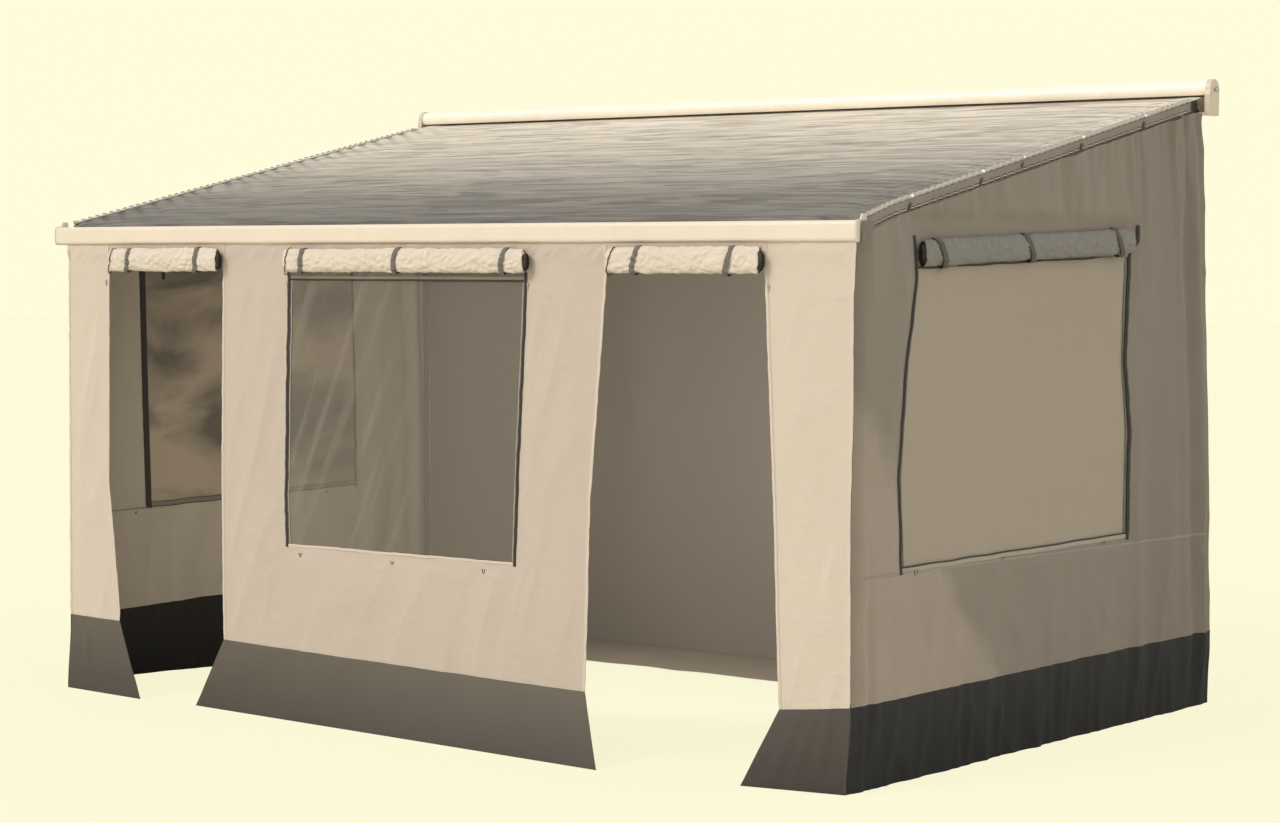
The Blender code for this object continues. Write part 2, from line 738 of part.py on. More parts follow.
def make_lower_leg(name, x):
    """The sliding inner tube, with the ankle that its foot hangs from."""
    foot = FOOT_PIVOT + ANKLE_DROP
    inset = LEG_WALL + LEG_FIT
    low = (x - LEG_WIDE / 2 + inset, LEG_Y - LEG_DEEP / 2 + inset)
    high = (x + LEG_WIDE / 2 - inset, LEG_Y + LEG_DEEP / 2 - inset)
    bite = LEG_WALL / 2
    wall = [rectangle(low, high)]
    wall.append(rectangle((low[0] + LEG_WALL, low[1] + LEG_WALL), (high[0] - LEG_WALL, high[1] - LEG_WALL)))
    middle = (LEG_LOWER_TOP + foot) / 2
    tube = prism(name + "_lower_tube", wall, LEG_LOWER_TOP - foot, BARE_ALLOY, (0, 0, middle))
    heel = box(
        low=(low[0] + bite, low[1] + bite, foot + bite),
        high=(high[0] - bite, high[1] - bite, foot + bite + PLUG_THICK),
        **tool(name + "_heel"),
    )
    ankle = prism(
        outlines=[lug((x, FOOT_PIVOT), ANKLE_REACH, ANKLE_DROP + PLUG_THICK / 2, 90)],
        length=ANKLE_THICK,
        centre=(0, LEG_Y, 0),
        axis="Y",
        **tool(name + "_ankle"),
    )
    combine(tube, [heel, ankle])
    return bored(tube, name + "_ankle_bore", (x, LEG_Y, FOOT_PIVOT), "Y", PIN_RADIUS + PIN_FIT, ANKLE_THICK * 2)


def make_foot(name, x):
    """The tilting foot plate and its fork."""
    low = (x - FOOT_LENGTH / 2, LEG_Y - FOOT_DEEP / 2, 0)
    high = (x + FOOT_LENGTH / 2, LEG_Y + FOOT_DEEP / 2, FOOT_THICK)
    plate = box(name + "_foot", low, high, DARK_PLASTIC)
    base = FOOT_PIVOT - FOOT_THICK / 2
    gap = ANKLE_THICK / 2 + PIN_FIT
    centre = (x, LEG_Y, FOOT_PIVOT)
    return combine(plate, fork(name + "_foot_fork", centre, "Y", gap, ANKLE_REACH, base, -90, PIN_RADIUS))


def make_leg(side, sign):
    """One folding, telescopic leg. Its pivots carry the pieces below them."""
    x = sign * LEG_X
    name = "leg_" + side
    make_leg_bracket(side, x)
    fold = pivot(name + "_fold_axis", (x, LEG_Y, LEG_PIVOT_Z), [make_upper_leg(name, x)])
    pivot(name + "_lever_axis", lever_hinge(x), [make_clamp_lever(name, x)], fold)
    slide = pivot(name + "_slide_axis", (x, LEG_Y, LEG_LOWER_TOP), [make_lower_leg(name, x)], fold)
    pivot(name + "_foot_axis", (x, LEG_Y, FOOT_PIVOT), [make_foot(name, x)], slide)


def rafter_frame(sign, along):
    """A frame on the rafter's axis: sideways, up, and along it, from its front end towards the case."""
    run = Vector((sign * SPLAY, 1, ROOF_SLOPE)).normalized()
    sideways = Vector((-1, sign * SPLAY, 0)).normalized()
    up = run.cross(sideways)
    inset = CLOTH + RAFTER_INSET + RAFTER_WIDE / 2
    place = Vector((sign * (FRONT_WIDTH / 2 + SPLAY * BEHIND_RAIL - inset), FRONT_Y + BEHIND_RAIL, 0))
    place.z = roof_top(BEHIND_RAIL) - RAFTER_DROP
    frame = Matrix((sideways, up, run)).transposed().to_4x4()
    frame.translation = place + run * along
    return frame


def along_rafter(depth, height, wide):
    """The distance along the rafter at which a corner of this height and width reaches a depth."""
    run = Vector((SPLAY, 1, ROOF_SLOPE)).normalized()
    lean = Vector((0, -ROOF_SLOPE, 1)).normalized()
    return (depth - BEHIND_RAIL - wide / 2 * SPLAY - height * lean.y) / run.y


def make_rafter(side, sign):
    """One telescopic rafter under the canopy's edge: a socket at the rail, two tubes, and a hook on the case."""
    name = "rafter_" + side
    tall = RAFTER_TALL / 2
    wide = RAFTER_WIDE / 2
    front = tall * ROOF_SLOPE + wide * SPLAY
    wall = RAFTER_WALL
    outer = [
        rectangle((-wide, -tall), (wide, tall), RAFTER_CORNER, 2),
        rectangle((-wide + wall, -tall + wall), (wide - wall, tall - wall)),
    ]
    middle = (front + RAFTER_OUTER) / 2
    tube = prism(name + "_outer_tube", outer, RAFTER_OUTER - front, BARE_ALLOY, frame=rafter_frame(sign, middle))
    centre = rafter_frame(sign, SOCKET_LENGTH / 2).translation
    socket = box(
        low=(centre.x - SOCKET_WIDE / 2, FRONT_Y + BEHIND_RAIL, centre.z - SOCKET_BELOW),
        high=(centre.x + SOCKET_WIDE / 2, FRONT_Y + BEHIND_RAIL + SOCKET_LENGTH, centre.z + SOCKET_ABOVE),
        **tool(name + "_socket"),
    )
    combine(tube, [socket])

    inset = RAFTER_WALL + LEG_FIT
    wide_in = wide - inset
    tall_in = tall - inset
    inner = [
        rectangle((-wide_in, -tall_in), (wide_in, tall_in)),
        rectangle((-wide_in + wall, -tall_in + wall), (wide_in - wall, tall_in - wall)),
    ]
    shelf_front = ROLLER_DEPTH - CASE_SHELF
    lip_below = roof_top(shelf_front) - RAFTER_DROP - (CASE_FOOT + CASE_LIP)
    seat = GAP - lip_below / ROOF_STRETCH
    block = along_rafter(shelf_front - GAP, seat, HOOK_WIDE)
    start = block - HOOK_LENGTH
    length = start - GAP - RAFTER_INNER_START
    frame = rafter_frame(sign, RAFTER_INNER_START + length / 2)
    slid = prism(name + "_inner_tube", inner, length, BARE_ALLOY, frame=frame)
    tip = along_rafter(shelf_front + HOOK_REACH, seat, HOOK_WIDE)
    top = HOOK_TALL / 2
    finger = seat + HOOK_FINGER
    outline = [(start, top), (start, seat), (tip, seat), (tip, finger), (block, finger), (block, top)]
    lay = rafter_frame(sign, 0) @ Matrix(((0, 0, -1, 0), (0, 1, 0, 0), (1, 0, 0, 0), (0, 0, 0, 1)))
    hook = prism(name + "_hook", [outline], HOOK_WIDE, DARK_PLASTIC, frame=lay)
    pivot(name + "_slide_axis", rafter_frame(sign, RAFTER_INNER_START).translation, [slid, hook])


def front_fold(x, z):
    """How far the front cloth stands out of its plane: soft upright folds away from the taut edges."""
    doors = (LEFT_DOOR_LEFT, LEFT_DOOR_RIGHT, RIGHT_DOOR_LEFT, RIGHT_DOOR_RIGHT)
    edges = [edge(points)(z) for points in doors]
    nearest = min([abs(x - place) for place in edges] + [FRONT_WIDTH / 2 - abs(x)])
    left, right = edge(FRONT_WINDOW_LEFT)(z), edge(FRONT_WINDOW_RIGHT)(z)
    beside = max(left - x, x - right, FRONT_WINDOW_FOOT - z)
    loose = smooth(0.05, 0.18, nearest) * smooth(0.04, 0.16, beside) * smooth(0.2, 0.7, RAIL_FOOT - z)
    wave = math.sin(2 * math.pi * x / FRONT_FOLD_PITCH + 1.6 * math.sin(1.9 * z)) * 0.5 + 0.5
    return FRONT_FOLD * loose * wave


def front_place(x, z, off=0.0):
    return Vector((x, FRONT_Y - front_fold(x, z) + off, z))


INWARD = Vector((0, CLOTH, 0))


def front_piece(name, left, right, seam, columns, rows, look, window=False):
    """One hung panel of the front wall, between two upright edges, from its seam to the rail."""
    head = RAIL_FOOT - GAP
    start, end = left(seam[0]), right(seam[1])
    foot = grading(start, end, *seam)
    if window:
        uprights = [left, edge(FRONT_WINDOW_LEFT), edge(FRONT_WINDOW_RIGHT), right]
        levels = [foot, steady(FRONT_WINDOW_FOOT), steady(FRONT_WINDOW_HEAD), steady(head)]
        net = cloth_grid(uprights, columns, levels, rows)
        hole = (columns[0], columns[0] + columns[1], rows[0], rows[0] + rows[1])
        return sheet(name, net, front_place, INWARD, look, hole)
    net = cloth_grid([left, right], columns, [foot, steady(head)], rows)
    return sheet(name, net, front_place, INWARD, look)


def front_skirt(name, left, right, seam, hem_start, hem_end, columns, rows):
    """The dark skirt under a front panel. Its hem stands on the ground and swings out at the doors."""
    start, end = left(seam[0]), right(seam[1])
    seam_at = grading(start, end, *seam)
    net = [[(across / columns, down / rows) for across in range(columns + 1)] for down in range(rows, -1, -1)]

    def place(across, down):
        top_x = start + (end - start) * across
        hem_x = hem_start[0] + (hem_end[0] - hem_start[0]) * across
        out = hem_start[1] + (hem_end[1] - hem_start[1]) * across
        top_z = seam_at(top_x) - GAP
        x = top_x + (hem_x - top_x) * down
        fold = front_fold(top_x, top_z) * (1 - down)
        middle = across * (1 - across) * 4
        wave = SKIRT_WAVE * math.sin(9 * across * math.pi) * math.sin(math.pi * down) * middle
        return Vector((x, FRONT_Y - fold - out * down - wave, top_z * (1 - down)))

    return sheet(name, net, place, INWARD, SKIRT_CLOTH)


def make_front():
    corner = FRONT_WIDTH / 2
    left_edge, right_edge = steady(-corner), steady(corner)
    door_1_left, door_1_right = edge(LEFT_DOOR_LEFT), edge(LEFT_DOOR_RIGHT)
    door_2_left, door_2_right = edge(RIGHT_DOOR_LEFT), edge(RIGHT_DOOR_RIGHT)
    front_piece("front_panel_left", left_edge, door_1_left, LEFT_SEAM, [4], [14], WALL_CLOTH)
    columns, rows = [6, 12, 5], [5, 6, 1]
    front_piece("front_panel_centre", door_1_right, door_2_left, MIDDLE_SEAM, columns, rows, WALL_CLOTH, True)
    front_piece("front_panel_right", door_2_right, right_edge, RIGHT_SEAM, [4], [14], WALL_CLOTH)
    front_skirt("front_skirt_left", left_edge, door_1_left, LEFT_SEAM, (-corner, 0), LEFT_HEM_END, 4, 2)
    front_skirt(
        "front_skirt_centre", door_1_right, door_2_left, MIDDLE_SEAM, MIDDLE_HEM_START, MIDDLE_HEM_END, 22, 3
    )
    front_skirt("front_skirt_right", door_2_right, right_edge, RIGHT_SEAM, RIGHT_HEM_START, (corner, 0), 4, 2)

    left, right = edge(FRONT_WINDOW_LEFT), edge(FRONT_WINDOW_RIGHT)
    net = cloth_grid(
        [lambda z: left(z) - PANE_LAP, lambda z: right(z) + PANE_LAP],
        [12],
        [steady(FRONT_WINDOW_FOOT - PANE_LAP), steady(FRONT_WINDOW_HEAD + PANE_LAP)],
        [6],
    )
    behind = CLOTH + GAP
    sheet("front_window_pane", net, lambda x, z: front_place(x, z, behind), Vector((0, FILM, 0)), CLEAR_FILM)


def window_edges(sign):
    """The front and rear edges of the left (-1) or right (1) side window."""
    if sign < 0:
        return edge(LEFT_WINDOW_FRONT), edge(LEFT_WINDOW_REAR)
    return edge(RIGHT_WINDOW_FRONT), edge(RIGHT_WINDOW_REAR)


def side_fold(sign, depth, z):
    """How far a side wall stands out of its plane: soft folds at its top and rear edges."""
    top = roof_top(depth) - CLOTH * ROOF_STRETCH - STRIP_HEIGHT
    near_top = 1 - smooth(0.0, 0.45, top - z)
    near_rear = smooth(-0.52, -0.10, depth - ROOM_DEPTH)
    front, rear = [line(z) for line in window_edges(sign)]
    foot, head = SIDE_WINDOW_FOOT, SIDE_WINDOW_HEAD + 2 * SIDE_ROLL_RADIUS
    window = smooth(0.03, 0.13, max(front - depth, depth - rear, foot - z, z - head))
    ends = smooth(0.0, 0.12, depth) * smooth(0.0, 0.06, edge(SIDE_REAR_EDGE)(z) - depth)
    wave = math.sin(2 * math.pi * depth / SIDE_FOLD_PITCH + 0.8 * math.sin(2.2 * z)) * 0.5 + 0.5
    low = 0.35 * (1 - smooth(0.3, 0.7, z))
    return SIDE_FOLD * ends * window * wave * min(1.0, near_top * 0.7 + near_rear + low)


def side_place(sign, depth, z, inward=0.0):
    out = FRONT_WIDTH / 2 + SPLAY * depth + side_fold(sign, depth, z) - inward
    return Vector((sign * out, FRONT_Y + depth, z))


def make_side(side, sign):
    start = CLOTH + GAP
    rear = edge(SIDE_REAR_EDGE)
    front, back = window_edges(sign)
    under = CLOTH * ROOF_STRETCH + STRIP_HEIGHT + 2 * GAP
    push = Vector((-sign * CLOTH, 0, 0))

    def head(depth):
        if depth <= BEHIND_RAIL:
            return RAIL_FOOT - GAP
        return roof_top(min(depth, STRIP_END)) - under

    uprights = [steady(start), steady(BEHIND_RAIL), steady(STRIP_START), front, back, rear]
    levels = [steady(SIDE_SEAM), steady(SIDE_WINDOW_FOOT), steady(SIDE_WINDOW_HEAD), head]
    columns, rows = [1, 1, 3, 12, 9], [3, 7, 4]
    net = cloth_grid(uprights, columns, levels, rows)
    hole = (5, 5 + columns[3], rows[0], rows[0] + rows[1])
    sheet("side_wall_" + side, net, lambda d, z: side_place(sign, d, z), push, WALL_CLOTH, hole)

    seam = SIDE_SEAM - GAP
    net = cloth_grid([steady(start), rear], [24], [steady(0), steady(seam)], [2])
    sheet("side_skirt_" + side, net, lambda d, z: side_place(sign, d, z), push, SKIRT_CLOTH)

    net = cloth_grid(
        [lambda z: front(z) - PANE_LAP, lambda z: back(z) + PANE_LAP],
        [12],
        [steady(SIDE_WINDOW_FOOT - PANE_LAP), steady(SIDE_WINDOW_HEAD + PANE_LAP)],
        [7],
    )
    behind = CLOTH + GAP
    film = Vector((-sign * FILM, 0, 0))
    sheet("side_window_pane_" + side, net, lambda d, z: side_place(sign, d, z, behind), film, CLEAR_FILM)
    if side == "right":
        lap = CURTAIN_LAP
        net = cloth_grid(
            [lambda z: front(z) - lap, lambda z: back(z) + lap],
            [12],
            [steady(SIDE_WINDOW_FOOT - lap), steady(SIDE_WINDOW_HEAD + lap)],
            [7],
        )
        inside = behind + FILM + GAP
        sheet("side_curtain_right", net, lambda d, z: side_place(sign, d, z, inside), push * 0.5, SHADE_CLOTH)

    top_drop = CLOTH * ROOF_STRETCH + GAP
    rows = [
        [(STRIP_START + (STRIP_END - STRIP_START) * k / 6, drop) for k in range(7)]
        for drop in (top_drop + STRIP_HEIGHT, top_drop)
    ]

    def strip_place(depth, drop):
        return Vector((sign * (FRONT_WIDTH / 2 + SPLAY * depth), FRONT_Y + depth, roof_top(depth) - drop))

    sheet("roof_strip_" + side, rows, strip_place, push, ROOF_CLOTH)


def make_roof():
    """The canopy, from the lead rail's back to under the roller."""
    start = BEHIND_RAIL
    end = ROLLER_DEPTH + ROOF_LAP
    columns, rows = 16, 26
    spread = [2 * across / columns - 1 for across in range(columns + 1)]
    net = [[(across, down / rows) for across in spread] for down in range(rows + 1)]

    def place(across, down):
        depth = start + (end - start) * down
        half = FRONT_WIDTH / 2 + SPLAY * depth
        slack = smooth(0, 0.08, down) * smooth(0, 0.08, 1 - down) * smooth(0.0, 0.05, 1 - abs(across))
        wave = math.sin(2 * math.pi * depth / ROOF_RIPPLE_PITCH + 1.4 * math.sin(2.3 * across)) * 0.5 + 0.5
        return Vector((across * half, FRONT_Y + depth, roof_top(depth) - ROOF_RIPPLE * slack * wave))

    sheet("roof_canopy", net, place, Vector((0, 0, -CLOTH * ROOF_STRETCH)), ROOF_CLOTH)


def make_rear():
    """The closing wall at the vehicle side, and its ground flap that lies inwards."""
    inner = CLOTH + REAR_SIDE_PLAY
    half = FRONT_WIDTH / 2 + SPLAY * ROOM_DEPTH - inner
    head = CASE_FOOT - GAP
    spread = [half * (2 * across / 20 - 1) for across in range(21)]
    rows = [[(x, height) for x in spread] for height in (0, head / 3, head * 2 / 3, head)]

    def wall(x, z):
        sway = REAR_SWAY * math.sin(2 * math.pi * x / REAR_SWAY_PITCH) * math.sin(math.pi * z / CASE_FOOT)
        return Vector((x, FRONT_Y + ROOM_DEPTH + sway, z))

    sheet("rear_wall", rows, wall, Vector((0, -CLOTH, 0)), SHADE_CLOTH)
    flap_end = ROOM_DEPTH - CLOTH - GAP
    spread = [2 * across / 8 - 1 for across in range(9)]
    rows = [[(across, depth) for across in spread] for depth in (flap_end - FLAP_WIDTH, flap_end)]

    def flap(across, depth):
        return Vector((across * (FRONT_WIDTH / 2 + SPLAY * depth - inner), FRONT_Y + depth, CLOTH))

    sheet("rear_ground_flap", rows, flap, Vector((0, 0, -CLOTH)), SHADE_CLOTH)


def roll_outline(radius):
    """A rolled sheet's section: one turn of a flattened spiral, closed by the outer edge's step."""
    steps = 22
    return [
        (
            ROLL_FLATNESS * (radius - ROLL_STEP * k / steps) * math.cos(math.radians(-150 + 360 * k / steps)),
            (radius - ROLL_STEP * k / steps) * math.sin(math.radians(-150 + 360 * k / steps)),
        )
        for k in range(steps + 1)
    ]


def oval(deep, tall, segments):
    return [(deep * x, tall * y) for x, y in circle(1, segments)]


def roll_with_straps(roll_name, straps_name, start, end, out, radius, strap_places, header=None):
    """A rolled blind or door between two points on its axis, held by straps on a tape behind it. out is the way
    off the wall. strap_places are distances from start. A door's tape is its header, that hangs from the rail
    this far above the axis, over the whole width."""
    run = (end - start).normalized()
    up = run.cross(out)
    if up.z < 0:
        run = -run
        start, end = end, start
        strap_places = [(end - start).length - place for place in strap_places]
        up = run.cross(out)
    length = (end - start).length

    def frame(along):
        made = Matrix((out, up, run)).transposed().to_4x4()
        made.translation = start + run * along
        return made

    prism(roll_name, [roll_outline(radius)], length, WALL_CLOTH, frame=frame(length / 2))
    flat = 1 / math.cos(math.pi / STRAP_SEGMENTS)  # so that the loops' flats clear the roll
    deep, tall = (half * flat + GAP for half in (radius * ROLL_FLATNESS, radius))
    wall_face = -(radius * ROLL_FLATNESS + ROLL_OFF_WALL) + GAP
    first, last = min(strap_places) - STRAP_WIDE / 2, max(strap_places) + STRAP_WIDE / 2
    if header:
        first, last = 0, length
    tape = prism(
        straps_name,
        [rectangle((wall_face, -TAPE_HEIGHT / 2), (-(deep + STRAP_THICK / 2), header or TAPE_HEIGHT / 2))],
        last - first,
        STRAP_WEBBING,
        frame=frame((first + last) / 2),
    )
    loops = [
        prism(
            outlines=[
                oval(deep + STRAP_THICK, tall + STRAP_THICK, STRAP_SEGMENTS),
                oval(deep, tall, STRAP_SEGMENTS),
            ],
            length=STRAP_WIDE * 0.98,
            frame=frame(place),
            **tool(f"{straps_name}_loop{number}"),
        )
        for number, place in enumerate(strap_places)
    ]
    combine(tape, loops)


def make_rolls():
    out = Vector((0, -1, 0))
    roll_y = FRONT_Y - ROLL_OFF_WALL - ROLL_RADIUS * ROLL_FLATNESS
    roll_z = RAIL_FOOT - ROLL_DROP - ROLL_RADIUS
    spans = (
        ("door_roll_left", "door_straps_left", LEFT_DOOR_LEFT, LEFT_DOOR_RIGHT, LEFT_DOOR_STRAPS),
        ("door_roll_right", "door_straps_right", RIGHT_DOOR_LEFT, RIGHT_DOOR_RIGHT, RIGHT_DOOR_STRAPS),
    )
    for roll_name, straps_name, left, right, straps in spans:
        first = edge(left)(roll_z) + ROLL_END_PLAY
        last = edge(right)(roll_z) - ROLL_END_PLAY
        start, end = Vector((first, roll_y, roll_z)), Vector((last, roll_y, roll_z))
        places = [place - first for place in straps]
        header = RAIL_FOOT - GAP - roll_z
        roll_with_straps(roll_name, straps_name, start, end, out, ROLL_RADIUS, places, header)
    first, last = FRONT_ROLL_SPAN
    start, end = Vector((first, roll_y, roll_z)), Vector((last, roll_y, roll_z))
    places = [place - first for place in FRONT_WINDOW_STRAPS]
    roll_with_straps("front_blind_roll", "front_blind_straps", start, end, out, ROLL_RADIUS, places)
    for side, sign in (("left", -1), ("right", 1)):
        away = Vector((sign, -SPLAY, 0)).normalized()
        ends = []
        for depth, height in (SIDE_ROLL_START, SIDE_ROLL_END):
            foot = Vector((sign * (FRONT_WIDTH / 2 + SPLAY * depth), FRONT_Y + depth, height))
            ends.append(foot + away * (ROLL_OFF_WALL + SIDE_ROLL_RADIUS * ROLL_FLATNESS))
        places = [(depth - SIDE_ROLL_START[0]) * math.hypot(1, SPLAY) for depth in SIDE_STRAPS]
        names = ("side_blind_roll_" + side, "side_blind_straps_" + side)
        roll_with_straps(*names, *ends, away, SIDE_ROLL_RADIUS, places)


def make_sliders():
    """The pull sliders of the zips, at the top of the front window and of the doors."""
    shape = [
        (-SLIDER_WIDE / 2, 0),
        (SLIDER_WIDE / 2, 0),
        (SLIDER_WIDE / 2, -SLIDER_LENGTH * 0.4),
        (SLIDER_WIDE / 4, -SLIDER_LENGTH * 0.5),
        (SLIDER_WIDE / 4, -SLIDER_LENGTH),
        (-SLIDER_WIDE / 4, -SLIDER_LENGTH),
        (-SLIDER_WIDE / 4, -SLIDER_LENGTH * 0.5),
        (-SLIDER_WIDE / 2, -SLIDER_LENGTH * 0.4),
    ]
    homes = (
        ("front_zip_slider_left", FRONT_WINDOW_LEFT, -1),
        ("front_zip_slider_right", FRONT_WINDOW_RIGHT, 1),
        ("door_zip_slider_left", LEFT_DOOR_LEFT, -1),
        ("door_zip_slider_right", RIGHT_DOOR_RIGHT, 1),
    )
    for name, line, way in homes:
        x = edge(line)(SLIDER_HEIGHT) + way * SLIDER_OFF_EDGE
        y = FRONT_Y - GAP - SLIDER_THICK / 2
        slider = prism(name, [shape], SLIDER_THICK, DARK_PLASTIC, (x, y, SLIDER_HEIGHT), "Y")
        pivot(name + "_path", (x, y, SLIDER_HEIGHT), [slider])


make_case()
make_rail()
for side_name, side_sign in (("left", -1), ("right", 1)):
    make_leg(side_name, side_sign)
    make_rafter(side_name, side_sign)
    make_side(side_name, side_sign)
make_roof()
make_front()
make_rear()
make_rolls()
make_sliders()
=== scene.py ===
import math

import bmesh
import bpy
import numpy as np
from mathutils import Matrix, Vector


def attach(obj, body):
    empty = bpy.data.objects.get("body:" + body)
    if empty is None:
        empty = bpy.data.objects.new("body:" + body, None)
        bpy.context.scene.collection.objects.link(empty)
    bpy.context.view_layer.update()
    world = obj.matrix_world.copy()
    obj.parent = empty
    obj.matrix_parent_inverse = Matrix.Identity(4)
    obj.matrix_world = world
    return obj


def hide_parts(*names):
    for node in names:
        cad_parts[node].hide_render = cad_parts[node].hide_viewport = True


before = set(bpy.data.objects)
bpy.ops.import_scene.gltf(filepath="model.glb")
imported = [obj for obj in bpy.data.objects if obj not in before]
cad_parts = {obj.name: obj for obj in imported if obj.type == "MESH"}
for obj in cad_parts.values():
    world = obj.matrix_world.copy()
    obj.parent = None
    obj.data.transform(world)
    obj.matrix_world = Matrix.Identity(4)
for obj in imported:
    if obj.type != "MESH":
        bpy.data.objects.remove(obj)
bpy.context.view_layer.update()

# The studio: a pale warm floor under an even sky, with one broad sun high on the front left, so that the front
# is bright and the right side lies in soft shade, which the open sky behind it models. A soft lamp inside stands
# for the daylight that comes through the cloth. The camera stands at eye height, off the right corner, and looks
# down a little.
scene = bpy.context.scene
scene.view_settings.view_transform = "Standard"

photo_width, photo_height = 1280, 823
focal_length_px = 2737.8
lens_centre_px = (645.7, 333.34)
front_face = -1.22115  # Y of the front wall's outer face
lens = bpy.data.cameras.new("camera")
lens.sensor_width = 36.0
lens.lens = focal_length_px / photo_width * lens.sensor_width
lens.shift_x = (photo_width / 2 - lens_centre_px[0]) / photo_width
lens.shift_y = -(photo_height / 2 - lens_centre_px[1]) / photo_width
lens.clip_end = 300
camera = bpy.data.objects.new("camera", lens)
scene.collection.objects.link(camera)
camera.location = (7.065, front_face - 7.949, 1.863)
camera.rotation_euler = (math.radians(88.38), 0, math.radians(36.753))
scene.camera = camera

backdrop_colour = (1.0, 0.973, 0.708, 1)
sky = bpy.data.worlds.new("sky")
scene.world = sky
sky.use_nodes = True
sky_tree = sky.node_tree
sky_light = sky_tree.nodes["Background"]
sky_light.inputs["Color"].default_value = (1, 0.99, 0.97, 1)
sky_light.inputs["Strength"].default_value = 0.53
sky_seen = sky_tree.nodes.new("ShaderNodeBackground")
sky_seen.inputs["Color"].default_value = backdrop_colour
sky_path = sky_tree.nodes.new("ShaderNodeLightPath")
sky_pick = sky_tree.nodes.new("ShaderNodeMixShader")
sky_tree.links.new(sky_path.outputs["Is Camera Ray"], sky_pick.inputs["Fac"])
sky_tree.links.new(sky_light.outputs["Background"], sky_pick.inputs[1])
sky_tree.links.new(sky_seen.outputs["Background"], sky_pick.inputs[2])
sky_tree.links.new(sky_pick.outputs["Shader"], sky_tree.nodes["World Output"].inputs["Surface"])

sun_lamp = bpy.data.lights.new("sun", "SUN")
sun_lamp.energy = 2.05
sun_lamp.angle = math.radians(28)
sun_lamp.color = (1, 0.98, 0.94)
sun = bpy.data.objects.new("sun", sun_lamp)
sun.rotation_euler = Vector((-0.36, -0.66, 0.66)).to_track_quat("Z", "Y").to_euler()
scene.collection.objects.link(sun)

open_sky_lamp = bpy.data.lights.new("open_sky", "SUN")
open_sky_lamp.energy = 0.95
open_sky_lamp.angle = math.radians(40)
open_sky_lamp.color = (0.97, 0.98, 1.0)
open_sky = bpy.data.objects.new("open_sky", open_sky_lamp)
open_sky.rotation_euler = Vector((0.55, 0.50, 0.67)).to_track_quat("Z", "Y").to_euler()
scene.collection.objects.link(open_sky)

inside_lamp = bpy.data.lights.new("daylight_inside", "AREA")
inside_lamp.shape = "RECTANGLE"
inside_lamp.size = 2.6
inside_lamp.size_y = 1.5
inside_lamp.energy = 28
inside = bpy.data.objects.new("daylight_inside", inside_lamp)
inside.location = (0.25, front_face + 0.70, 1.05)
inside.rotation_euler = (math.radians(90), 0, math.radians(24))
inside.visible_camera = False
inside.visible_glossy = False
scene.collection.objects.link(inside)

floor_net = bpy.data.meshes.new("floor")
floor_net.from_pydata([(-60, -60, 0), (60, -60, 0), (60, 60, 0), (-60, 60, 0)], [], [(0, 1, 2, 3)])
floor = bpy.data.objects.new("floor", floor_net)
floor.location.z = -0.0015
scene.collection.objects.link(floor)
floor_finish = bpy.data.materials.new("floor")
floor_finish.use_nodes = True
floor_tree = floor_finish.node_tree
floor_lit = floor_tree.nodes["Principled BSDF"]
floor_lit.inputs["Base Color"].default_value = (0.78, 0.74, 0.60, 1)
floor_lit.inputs["Roughness"].default_value = 0.9
floor_shaded = floor_tree.nodes.new("ShaderNodeBsdfDiffuse")
floor_shaded.inputs["Color"].default_value = (0.075, 0.072, 0.053, 1)
floor_glow = floor_tree.nodes.new("ShaderNodeEmission")
floor_glow.inputs["Color"].default_value = backdrop_colour
floor_glow.inputs["Strength"].default_value = 0.90
floor_seen = floor_tree.nodes.new("ShaderNodeAddShader")
floor_path = floor_tree.nodes.new("ShaderNodeLightPath")
floor_pick = floor_tree.nodes.new("ShaderNodeMixShader")
floor_tree.links.new(floor_shaded.outputs["BSDF"], floor_seen.inputs[0])
floor_tree.links.new(floor_glow.outputs["Emission"], floor_seen.inputs[1])
floor_tree.links.new(floor_path.outputs["Is Camera Ray"], floor_pick.inputs["Fac"])
floor_tree.links.new(floor_lit.outputs["BSDF"], floor_pick.inputs[1])
floor_tree.links.new(floor_seen.outputs["Shader"], floor_pick.inputs[2])
floor_tree.links.new(floor_pick.outputs["Shader"], floor_tree.nodes["Material Output"].inputs["Surface"])
floor_net.materials.append(floor_finish)

# The case on the vehicle: an extruded aluminium housing, powder coated in cream, with its two cast end caps
# and the wall brackets behind it. Rain has left faint streaks and a little dust in the coat.


def lay(tree, kind, inputs=None, **settings):
    """A new node in a tree, with its settings and the plain values of its inputs."""
    made = tree.nodes.new(kind)
    for setting, value in settings.items():
        setattr(made, setting, value)
    for socket, value in (inputs or {}).items():
        made.inputs[socket].default_value = value
    return made


def wire(tree, *runs):
    """Links, each as (node, output, node, input)."""
    for giver, output, taker, socket in runs:
        tree.links.new(giver.outputs[output], taker.inputs[socket])


def effect(name, inputs, outputs):
    """An empty node group: its tree, its entry node and its exit node."""
    group = bpy.data.node_groups.new(name, "ShaderNodeTree")
    for socket, kind, value in inputs:
        made = group.interface.new_socket(socket, in_out="INPUT", socket_type=kind)
        if value is not None:
            made.default_value = value
    for socket, kind in outputs:
        group.interface.new_socket(socket, in_out="OUTPUT", socket_type=kind)
    return group, group.nodes.new("NodeGroupInput"), group.nodes.new("NodeGroupOutput")


